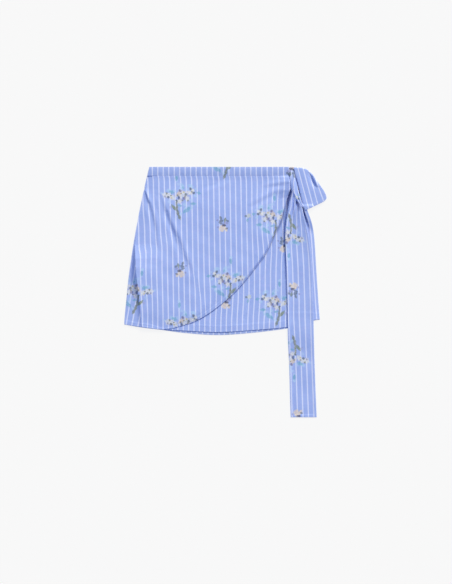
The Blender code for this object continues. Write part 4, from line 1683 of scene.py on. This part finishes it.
def blend(tree, share, below, above):
    """Mix two colours; 0 shows the one below, 1 the one above."""
    return add_node(tree, "ShaderNodeMix", {0: share, 6: below, 7: above}, data_type="RGBA").outputs[2]


def highest(tree, masks):
    """The highest of many masks, joined one by one as they are made."""
    found = next(masks)
    for mask in masks:
        found = calc(tree, "MAXIMUM", found, mask)
    return found


def move(tree, operation, inputs, output=0):
    return add_node(tree, "ShaderNodeVectorMath", inputs, operation=operation).outputs[output]


def colour(red, green, blue):
    """A colour as it looks (0 to 255), as the linear values that Blender works with."""
    seen = np.array([red, green, blue]) / 255
    linear = np.where(seen <= 0.04045, seen / 12.92, ((seen + 0.055) / 1.055) ** 2.4)
    return (*linear.tolist(), 1.0)


print("ground blue is", tuple(round(x, 3) for x in colour(156, 176, 236)[:3]))

# %% [markdown]
# ## Printed motifs
#
# The print is a loose spray of small five-petalled flowers with dark eyes, on an olive stem with blue and
# teal leaves, as if dabbed on with a wet brush. Between the sprays sit single sprigs and small buds.
# Three shapes are enough for all of it: a leaf, a round blot and a flower. Each motif is a few lists of
# them, in millimetres from its own middle, one list for each ink.

# %% List the dabs of the motifs
Dab = namedtuple("Dab", "x y length width turn")
Dot = namedtuple("Dot", "x y size")
Flower = namedtuple("Flower", "x y size turn")
TEAL_LEAVES = (
    Dab(6.8, 47, 8.5, 5.4, 95), Dab(-10, 23, 5, 3.4, 60), Dab(-48, 10, 7.5, 4.8, 10),
    Dab(19, 12, 9.5, 6, 15), Dab(-35, -17, 10, 5.6, 0), Dab(-21, -32, 11.5, 7, -50),
    Dab(-13, -36, 7.5, 4.2, -62), Dab(-2, -22, 7.5, 4, 12),
)
PALE_LEAVES = (
    Dab(7, 56, 6, 5.4, 60), Dab(-7, 27, 10, 6.5, 70), Dab(-28, 27, 10, 7, 20),
    Dab(-15, -28, 9, 3, -58), Dab(-4, -43, 8, 3, -58), Dab(24, 15, 8, 5, 10),
    Dab(-31, -27, 9, 3.4, -60), Dab(-13, -19, 6, 5, 80), Dab(-40, 2, 7, 4, 30),
)
SHADES = (Dot(-3, -10, 8), Dot(22, -26, 4.5), Dot(-20, 4, 7), Dot(-2, 12, 6), Dot(32, 1, 7))
PALE_BLOTS = (
    Dot(-3, 20, 6), Dot(-20, 19, 5), Dot(12, 15, 6), Dot(28, 17, 5), Dot(2, 32, 5), Dot(6, 40, 4),
    Dot(25, -12, 5), Dot(-30, -8, 5), Dot(-40, -18, 4), Dot(-24, -22, 4), Dot(44, 9, 4), Dot(-42, 20, 4),
)
CREAM_BLOTS = (
    Dot(-29, 9, 5), Dot(-16, 0, 5.5), Dot(-7, 13, 5), Dot(7, 3, 5), Dot(-3, -6, 5), Dot(21, 2, 4.5),
    Dot(30, 4, 5), Dot(-20, 13, 4),
)
STEM = (
    Dab(6.5, -15, 9, 3.4, 95), Dab(6, -28, 11, 4.4, 92), Dab(3.5, -40, 11, 5.2, 80),
    Dab(-0.5, -51, 9, 4.4, 70),
)
OLIVE_LEAVES = (Dab(14, -26, 10.5, 5.2, 52),)
CREAM_FLOWERS = (
    Flower(-25, 10, 8.0, 0.3), Flower(-33, 16, 6.5, 0.8), Flower(-11, 8, 9.5, 1.1),
    Flower(-20, -4, 8.5, 0.0), Flower(-5, 2, 7.0, 0.7), Flower(16, -2, 8.5, 1.5),
    Flower(25, 6, 7.0, 0.9), Flower(35, 5, 10.0, 0.2), Flower(0, -11, 7.5, 0.5),
)
PEACH_FLOWERS = (Flower(1, 8, 8.0, 0.4),)
SLATE_EYES = (
    Dot(-28.5, 20, 4.4), Dot(-36, 10, 4.2), Dot(-16, 6.5, 4.2), Dot(27.5, -1, 4), Dot(7, -9, 3.4),
)
PURPLE_EYES = (Dot(-2, 16, 4), Dot(-12, -3.5, 4.8), Dot(36, 1, 2.7))
NAVY_EYES = (Dot(1, -0.5, 3.6), Dot(1, -3.5, 3.5))
YELLOW_EYES = (Dot(-11.5, 12, 2.6), Dot(20, -3, 2.6))
OLIVE_EYES = (
    Dot(-31, 13, 3.0), Dot(-14, 1, 2.8), Dot(4, 4, 2.8), Dot(-8, -9, 2.8), Dot(21, 3, 2.6),
    Dot(31, 9, 3.0), Dot(-22, -9, 2.6), Dot(-5, 8, 2.4),
)
SPRIG_PETALS = (
    Dab(-7, -8, 10, 4.8, 60), Dab(-2, -11, 10, 6, 95), Dab(5, -11, 10, 5.2, 120), Dab(-4, -16, 7, 4.2, 0),
)
SPRIG_BUDS = (
    Dab(-7, 16, 7, 4.4, -75), Dab(-6, 9, 7, 6, 20), Dab(-7, 3, 7, 3.6, -15),
    Dab(10, 9, 6, 3.8, -30), Dab(8, -10, 5, 3.2, 20),
)
SPRIG_GREEN = (Dab(4, 11, 8, 4.2, 80),)
SPRIG_SHADES = (Dot(4, 3, 4), Dot(9, 3, 4), Dot(-14, -7, 3), Dot(-15, 10, 3))
SPRIG_EYE = (Dot(-1.2, -2.0, 3.8), Dot(3, -2.4, 3.8))
BUD_FLOWER = (Flower(0, 0, 7.5, 0.6),)
BUD_EYE = (Dot(-7, -1, 3.5),)
BUD_LEAF = (Dab(-3, -11, 6.5, 3.6, 70),)

print(len(CREAM_FLOWERS) + len(PEACH_FLOWERS), "flowers and", len(TEAL_LEAVES), "dark leaves in a spray")

# %% [markdown]
# ### Masks
#
# Each shape becomes a mask, 1 inside it and 0 outside, with a soft rim. A leaf is a lens, and a flower is
# a round whose radius waves about its centre, five times for its five petals. A painted picture would
# blur when one comes close, which these masks never do.

# %% Turn shapes into masks
LEAF_SOFT = 0.6                 # how much of a shape its soft rim takes up
DOT_SOFT = 0.6
DOT_SPREAD = 1.1
FLOWER_SOFT = 0.4
PETAL_DEPTH = 0.42              # how deep a flower is cut in between its petals
PETAL_TURNS = 2.5


def local_place(tree, place, shape, length, width, turn):
    return add_node(tree, "ShaderNodeMapping", {
        "Vector": place, "Location": (shape.x * MM, shape.y * MM, 0.0),
        "Rotation": (0.0, 0.0, turn), "Scale": (length * MM, width * MM, 1.0),
    }, vector_type="TEXTURE").outputs[0]


def leaf_mask(tree, place, dab):
    local = local_place(tree, place, dab, dab.length, dab.width, np.radians(dab.turn))
    split = add_node(tree, "ShaderNodeSeparateXYZ", {0: local})
    belly = calc(tree, "MULTIPLY", split.outputs[0], split.outputs[0])
    rim = calc(tree, "ADD", belly, calc(tree, "ABSOLUTE", split.outputs[1]))
    return ramp(tree, rim, 1.0, 1.0 - LEAF_SOFT)


def dot_mask(tree, place, dot):
    gap = move(tree, "DISTANCE", {0: place, 1: (dot.x * MM, dot.y * MM, 0.0)}, "Value")
    size = dot.size * MM
    return ramp(tree, gap, DOT_SPREAD * size, (DOT_SPREAD - DOT_SOFT) * size)


def flower_mask(tree, place, flower):
    local = local_place(tree, place, flower, flower.size, flower.size, flower.turn)
    split = add_node(tree, "ShaderNodeSeparateXYZ", {0: local})
    angle = calc(tree, "ARCTAN2", split.outputs[1], split.outputs[0])
    petals = calc(tree, "ABSOLUTE", calc(tree, "COSINE", calc(tree, "MULTIPLY", angle, PETAL_TURNS)))
    rim = calc(tree, "MULTIPLY_ADD", petals, PETAL_DEPTH, 1.0 - PETAL_DEPTH)
    distance = move(tree, "LENGTH", {0: local}, "Value")
    return ramp(tree, calc(tree, "DIVIDE", distance, rim), 1.0, 1.0 - FLOWER_SOFT)


print(f"between two petals a flower is {1 - PETAL_DEPTH:.2f} of its size")

# %% [markdown]
# ### Inks
#
# Each ink is one layer: the highest of all its masks. It has two tones that run into each other, its rim
# is made ragged by shifting the place a little here and there, and it is thinner in places, so that the
# stripes show through it. The inks lie on one another in the order in which they would be printed.

# %% Mix the inks
RAGGED_SCALE = 230.0
RAGGED_SHIFT = 5.0 * MM
THIN_SCALE = 420.0
TONE_SCALE = 150.0
SPRIG_HOME = MOTIFS["sprig"].home[0] / MM
BUD_HOME = MOTIFS["bud"].home[0] / MM


def moved(dabs, across):
    return [dab._replace(x=dab.x + across) for dab in dabs]


Ink = namedtuple("Ink", "masker shapes first second strength")
INKS = (
    Ink(dot_mask, PALE_BLOTS, colour(166, 198, 236), colour(176, 200, 242), 0.7),
    Ink(dot_mask, CREAM_BLOTS, colour(204, 206, 214), colour(212, 200, 198), 0.7),
    Ink(leaf_mask, PALE_LEAVES, colour(158, 196, 232), colour(180, 212, 241), 0.75),
    Ink(dot_mask, SHADES, colour(148, 152, 198), colour(162, 168, 212), 0.6),
    Ink(leaf_mask, TEAL_LEAVES, colour(98, 162, 190), colour(118, 172, 204), 0.85),
    Ink(leaf_mask, STEM, colour(104, 114, 82), colour(134, 138, 104), 0.92),
    Ink(leaf_mask, OLIVE_LEAVES, colour(104, 122, 56), colour(136, 146, 84), 0.95),
    Ink(flower_mask, CREAM_FLOWERS, colour(224, 226, 220), colour(198, 206, 222), 0.92),
    Ink(flower_mask, PEACH_FLOWERS, colour(216, 196, 164), colour(210, 196, 176), 0.88),
    Ink(dot_mask, SLATE_EYES, colour(66, 84, 88), colour(92, 104, 116), 0.92),
    Ink(dot_mask, PURPLE_EYES, colour(98, 96, 140), colour(118, 108, 146), 0.88),
    Ink(dot_mask, NAVY_EYES, colour(48, 62, 92), colour(66, 80, 112), 0.93),
    Ink(dot_mask, YELLOW_EYES, colour(180, 172, 104), colour(206, 190, 124), 0.9),
    Ink(dot_mask, OLIVE_EYES, colour(96, 104, 84), colour(124, 124, 100), 0.85),
    Ink(leaf_mask, moved(SPRIG_PETALS, SPRIG_HOME), colour(228, 214, 186), colour(214, 198, 184), 0.95),
    Ink(dot_mask, moved(SPRIG_SHADES, SPRIG_HOME), colour(120, 120, 164), colour(144, 142, 190), 0.75),
    Ink(leaf_mask, moved(SPRIG_BUDS, SPRIG_HOME), colour(82, 98, 116), colour(110, 118, 124), 0.9),
    Ink(leaf_mask, moved(SPRIG_GREEN, SPRIG_HOME), colour(92, 108, 78), colour(128, 138, 104), 0.9),
    Ink(dot_mask, moved(SPRIG_EYE, SPRIG_HOME), colour(46, 40, 46), colour(64, 56, 66), 0.97),
    Ink(flower_mask, moved(BUD_FLOWER, BUD_HOME), colour(208, 214, 204), colour(196, 206, 196), 0.9),
    Ink(dot_mask, moved(BUD_EYE, BUD_HOME), colour(88, 104, 96), colour(104, 112, 118), 0.88),
    Ink(leaf_mask, moved(BUD_LEAF, BUD_HOME), colour(98, 162, 190), colour(124, 176, 200), 0.85),
)


def print_inks(tree, ground, place, strength):
    """Lay every ink over the ground colour."""
    ragged = add_node(tree, "ShaderNodeTexNoise", {"Vector": place, "Scale": RAGGED_SCALE, "Detail": 3.0})
    shift = move(tree, "SUBTRACT", {0: ragged.outputs[1], 1: (0.5, 0.5, 0.5)})
    shift = move(tree, "SCALE", {0: shift, "Scale": RAGGED_SHIFT})
    wet = move(tree, "ADD", {0: place, 1: shift})
    thin = ramp(tree, speckle(tree, place, THIN_SCALE), 0.25, 0.75, 0.55, 1.0)
    hue = ramp(tree, speckle(tree, place, TONE_SCALE), 0.35, 0.65)
    for ink in INKS:
        mask = highest(tree, (ink.masker(tree, wet, shape) for shape in ink.shapes))
        mask = calc(tree, "MULTIPLY", calc(tree, "MULTIPLY", mask, thin), ink.strength)
        share = calc(tree, "MULTIPLY", mask, strength)
        ground = blend(tree, share, ground, blend(tree, hue, ink.first, ink.second))
    return ground


print(sum(len(ink.shapes) for ink in INKS), "dabs in", len(INKS), "inks")

# %% [markdown]
# ## Striped cotton
#
# The ground is a light blue poplin with a white stripe about 3 mm wide. It is never quite even in
# colour: it is a little warmer here and deeper there, and slubs, which are thick places in a thread, run
# down it. The stripe wanders by a hair, as woven stripes do.

# %% Helpers for the ground and the stripes
STRIPE_HALF = 1.45
STRIPE_SOFT = 0.7
STRIPE_WANDERS = 0.5 * MM
STRIPE_COVERS = 0.95
WARM_SHARE = 0.5
SLUB_SHARE = 0.25
SLUB_SCALE = (2600.0, 60.0, 1.0)        # narrow across the bolt and long down it
GROUND = colour(158, 179, 236)
GROUND_DEEP = colour(151, 173, 232)
GROUND_WARM = colour(165, 175, 235)
STRIPE = colour(208, 217, 250)


def stripe_mask(tree, bolt, across):
    wander = calc(tree, "SUBTRACT", speckle(tree, bolt, 60.0), 0.5)
    wander = calc(tree, "MULTIPLY", wander, STRIPE_WANDERS)
    stripes = calc(tree, "DIVIDE", calc(tree, "ADD", across, wander), STRIPE_PITCH * MM)
    offset = calc(tree, "SUBTRACT", calc(tree, "FRACT", calc(tree, "ADD", stripes, 0.5)), 0.5)
    from_stripe = calc(tree, "MULTIPLY", calc(tree, "ABSOLUTE", offset), STRIPE_PITCH)
    return ramp(tree, from_stripe, STRIPE_HALF + STRIPE_SOFT, STRIPE_HALF - STRIPE_SOFT)


def slub_mask(tree, bolt):
    threads = add_node(tree, "ShaderNodeMapping", {"Vector": bolt, "Scale": SLUB_SCALE}).outputs[0]
    return ramp(tree, speckle(tree, threads, 1.0), 0.35, 0.75)


def striped_ground(tree, bolt, stripe, slub):
    tint = ramp(tree, speckle(tree, bolt, 28.0, 3.0), 0.3, 0.7)
    warm = ramp(tree, speckle(tree, bolt, 95.0), 0.45, 0.8)
    ground = blend(tree, tint, GROUND_DEEP, GROUND)
    ground = blend(tree, calc(tree, "MULTIPLY", warm, WARM_SHARE), ground, GROUND_WARM)
    ground = blend(tree, calc(tree, "MULTIPLY", slub, SLUB_SHARE), ground, GROUND_DEEP)
    return blend(tree, calc(tree, "MULTIPLY", stripe, STRIPE_COVERS), ground, STRIPE)


print(f"a stripe covers {2 * STRIPE_HALF / STRIPE_PITCH:.2f} of the cloth")

# %% [markdown]
# ### The weave and the whole cotton
#
# Up close it is a plain weave of fine threads, a little crumpled. Edges are paler, as wear and as a
# painted highlight, and deep in a fold painted shade makes the blue darker, where each sheet has said so.
# All of this sits in one node group, so that the panels, the band and the sash share one cloth and only
# differ in tone.

# %% Build the striped cotton group
THREAD_PITCH = 0.42
WEAVE_HEIGHT = 0.05             # of the height of the crumples
SLUB_HEIGHT = 0.04
# how far edges are lightened towards the stripe white, as wear and as a painted highlight
WEAR_AND_HIGHLIGHT_SHARE = 0.25
FADED = colour(186, 200, 240)
# painted shade: the blue that the deepest folds are darkened towards
FOLD_SHADE_BLUE = colour(30, 42, 118)   # deep in a fold the light has bounced off blue cloth many times


def cloth_height(tree, bolt, across, along, slub):
    turns = 2 * np.pi / (THREAD_PITCH * MM)
    warp = calc(tree, "SINE", calc(tree, "MULTIPLY", across, turns))
    weft = calc(tree, "SINE", calc(tree, "MULTIPLY", along, turns))
    weave = calc(tree, "MULTIPLY", warp, weft)
    height = calc(tree, "MULTIPLY_ADD", weave, WEAVE_HEIGHT, speckle(tree, bolt, 120.0, 4.0))
    return calc(tree, "MULTIPLY_ADD", slub, SLUB_HEIGHT, height)


def build_cotton():
    tree = bpy.data.node_groups.new("striped_cotton", "ShaderNodeTree")
    for name in ("Print", "Fade", "Tone"):
        tree.interface.new_socket(name=name, in_out="INPUT", socket_type="NodeSocketFloat")
    tree.interface.new_socket(name="Colour", in_out="OUTPUT", socket_type="NodeSocketColor")
    tree.interface.new_socket(name="Height", in_out="OUTPUT", socket_type="NodeSocketFloat")
    tree.interface.new_socket(name="Nap", in_out="OUTPUT", socket_type="NodeSocketFloat")
    given = add_node(tree, "NodeGroupInput")
    bolt = add_node(tree, "ShaderNodeUVMap", uv_map="cloth").outputs[0]
    place = add_node(tree, "ShaderNodeUVMap", uv_map="print").outputs[0]
    split = add_node(tree, "ShaderNodeSeparateXYZ", {0: bolt})
    across, along = split.outputs[0], split.outputs[1]
    stripe, slub = stripe_mask(tree, bolt, across), slub_mask(tree, bolt)
    striped = striped_ground(tree, bolt, stripe, slub)
    printed = print_inks(tree, striped, place, given.outputs["Print"])
    faded = blend(tree, given.outputs["Fade"], printed, FADED)
    # edges lightened towards the stripe white: wear, and a painted highlight along the rims
    wear_and_highlight = add_node(tree, "ShaderNodeAttribute", attribute_name="edge_wear_and_highlight").outputs["Fac"]
    wear_and_highlight = calc(tree, "MULTIPLY", wear_and_highlight, ramp(tree, speckle(tree, bolt, 300.0), 0.3, 0.7))
    edged = blend(tree, calc(tree, "MULTIPLY", wear_and_highlight, WEAR_AND_HIGHLIGHT_SHARE), faded, STRIPE)
    # painted shade: the cloth darkened towards deep blue along the deepest folds
    deep = add_node(tree, "ShaderNodeAttribute", attribute_name="painted_fold_shade").outputs["Fac"]
    toned = move(tree, "SCALE", {0: blend(tree, deep, edged, FOLD_SHADE_BLUE), "Scale": given.outputs["Tone"]})
    height = cloth_height(tree, bolt, across, along, slub)
    nap = ramp(tree, speckle(tree, bolt, 500.0), 0.3, 0.7, 0.74, 0.9)
    add_node(tree, "NodeGroupOutput", {0: toned, 1: height, 2: nap})
    return tree


cotton = build_cotton()
print(len(cotton.nodes), "nodes in the cotton group")

# %% [markdown]
# ## Finishes
#
# Every record slot gets its own material round the same group. The wrong side of a panel shows the stripes
# but hardly any print and is faded a little; its tone is lowered as painted shade, for the back's hem
# strip that shows below the front hem. The band's tone is a little deeper than the panels'. Cotton has a
# dull surface with a slight bloom at flat angles, which is what the sheen is for.

# %% Mix the finishes
Finish = namedtuple("Finish", "print fade tone")
RIGHT_SIDE = Finish(1.0, 0.0, 1.05)
# the wrong side's lower tone is painted shade, for the back's hem strip below the front hem
WRONG_SIDE = Finish(0.3, 0.1, 0.95)
BAND_SIDE = Finish(1.0, 0.0, 0.99)
SASH_SIDE = Finish(1.0, 0.0, 1.035)
BUMP_HEIGHT = 0.45 * MM
BUMP_STRENGTH = 0.7
THREAD_DARK = colour(140, 160, 222)
THREAD_LIGHT = colour(154, 174, 233)
TWIST_HEIGHT = 0.05 * MM


def mix_cotton(name, finish):
    material, tree, shader = new_material(name)
    group = add_node(tree, "ShaderNodeGroup", node_tree=cotton)
    set_inputs(group, {"Print": finish.print, "Fade": finish.fade, "Tone": finish.tone})
    bump = add_node(tree, "ShaderNodeBump", {
        "Height": group.outputs["Height"], "Distance": BUMP_HEIGHT, "Strength": BUMP_STRENGTH,
    })
    tree.links.new(group.outputs["Colour"], shader.inputs["Base Color"])
    tree.links.new(group.outputs["Nap"], shader.inputs["Roughness"])
    tree.links.new(bump.outputs[0], shader.inputs["Normal"])
    set_inputs(shader, {"Specular IOR Level": 0.25, "Sheen Weight": 0.12, "Sheen Roughness": 0.45})
    return material


def mix_thread():
    material, tree, shader = new_material("sewing_thread")
    place = add_node(tree, "ShaderNodeTexCoord").outputs["Object"]
    tint = ramp(tree, speckle(tree, place, 900.0), 0.3, 0.7)
    tree.links.new(blend(tree, tint, THREAD_DARK, THREAD_LIGHT), shader.inputs["Base Color"])
    twist = add_node(tree, "ShaderNodeBump", {
        "Height": speckle(tree, place, 4000.0), "Distance": TWIST_HEIGHT,
    })
    tree.links.new(twist.outputs[0], shader.inputs["Normal"])
    set_inputs(shader, {"Roughness": 0.6, "Sheen Weight": 0.1})
    return material


finishes = {
    "back": mix_cotton("striped_cotton_back", RIGHT_SIDE),
    "front": mix_cotton("striped_cotton_front", RIGHT_SIDE),
    "wrong": mix_cotton("striped_cotton_wrong_side", WRONG_SIDE),
    "band": mix_cotton("striped_cotton_band", BAND_SIDE),
    "sash": mix_cotton("striped_cotton_sash", SASH_SIDE),
    "thread": mix_thread(),
}
print("finishes:", ", ".join(finishes))

# %% [markdown]
# ## Dressing the frame
#
# Each piece gets the material of its upper side and of its lower side, rides on the one body of the
# skirt, and stands in for its solid. The back lies face down, so its two sides are the other way round.
# Each sheet also says how large it was cut, how it is held, what it rests on and which stitches go with
# it.

# %% Finish the pieces
Dress = namedtuple("Dress", "piece node slot upper lower flat area held rests_on sewn")
DRESSES = (
    Dress(
        back.piece, "back_panel", "striped_cotton_back", "wrong", "back",
        (0.488, 0.398), 0.174, "laid", (), "stitches_back"),
    Dress(
        underlap.piece, "front_underlap", "striped_cotton_front", "front", "wrong",
        (0.432, 0.392), 0.151, "laid", ("back_cloth",), "stitches_underlap"),
    Dress(
        overlap.piece, "front_overlap", "striped_cotton_front", "front", "wrong",
        (0.421, 0.384), 0.119, "laid", ("underlap_cloth", "back_cloth"), "stitches_overlap"),
    Dress(
        back_band.piece, "waistband_back", "striped_cotton_band", "band", "band",
        (0.376, 0.022), None, "laid", (), None),
    Dress(
        underlap_band.piece, "waistband_underlap", "striped_cotton_band", "band", "band",
        (0.330, 0.022), None, "laid", ("back_band",), None),
    Dress(
        overlap_band.piece, "waistband_overlap", "striped_cotton_band", "band", "band",
        (0.366, 0.022), None, "laid", ("underlap_band",), "stitches_band"),
    Dress(
        tail.piece, "tie_tail", "striped_cotton_sash", "sash", "sash",
        (0.064, 0.575), None, "gathered", ("underlap_cloth",), "stitches_tail"),
    Dress(
        knot, "tie_knot", "striped_cotton_sash", "sash", "sash",
        (0.018, 0.100), None, "folded", ("sash_tail",), None),
    Dress(
        end.piece, "tie_end", "striped_cotton_sash", "sash", "sash",
        (0.064, 0.130), None, "folded", ("sash_knot", "underlap_cloth"), "stitches_end"),
)

for name, piece in stitches.items():
    piece.data.materials.append(finishes["thread"])
    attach(piece, "root")
for dress in DRESSES:
    dress.piece.data.materials.append(finishes[dress.upper])
    dress.piece.data.materials.append(finishes[dress.lower])
    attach(dress.piece, "root")
    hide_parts(dress.node)
print(len(DRESSES), "sheets dressed")
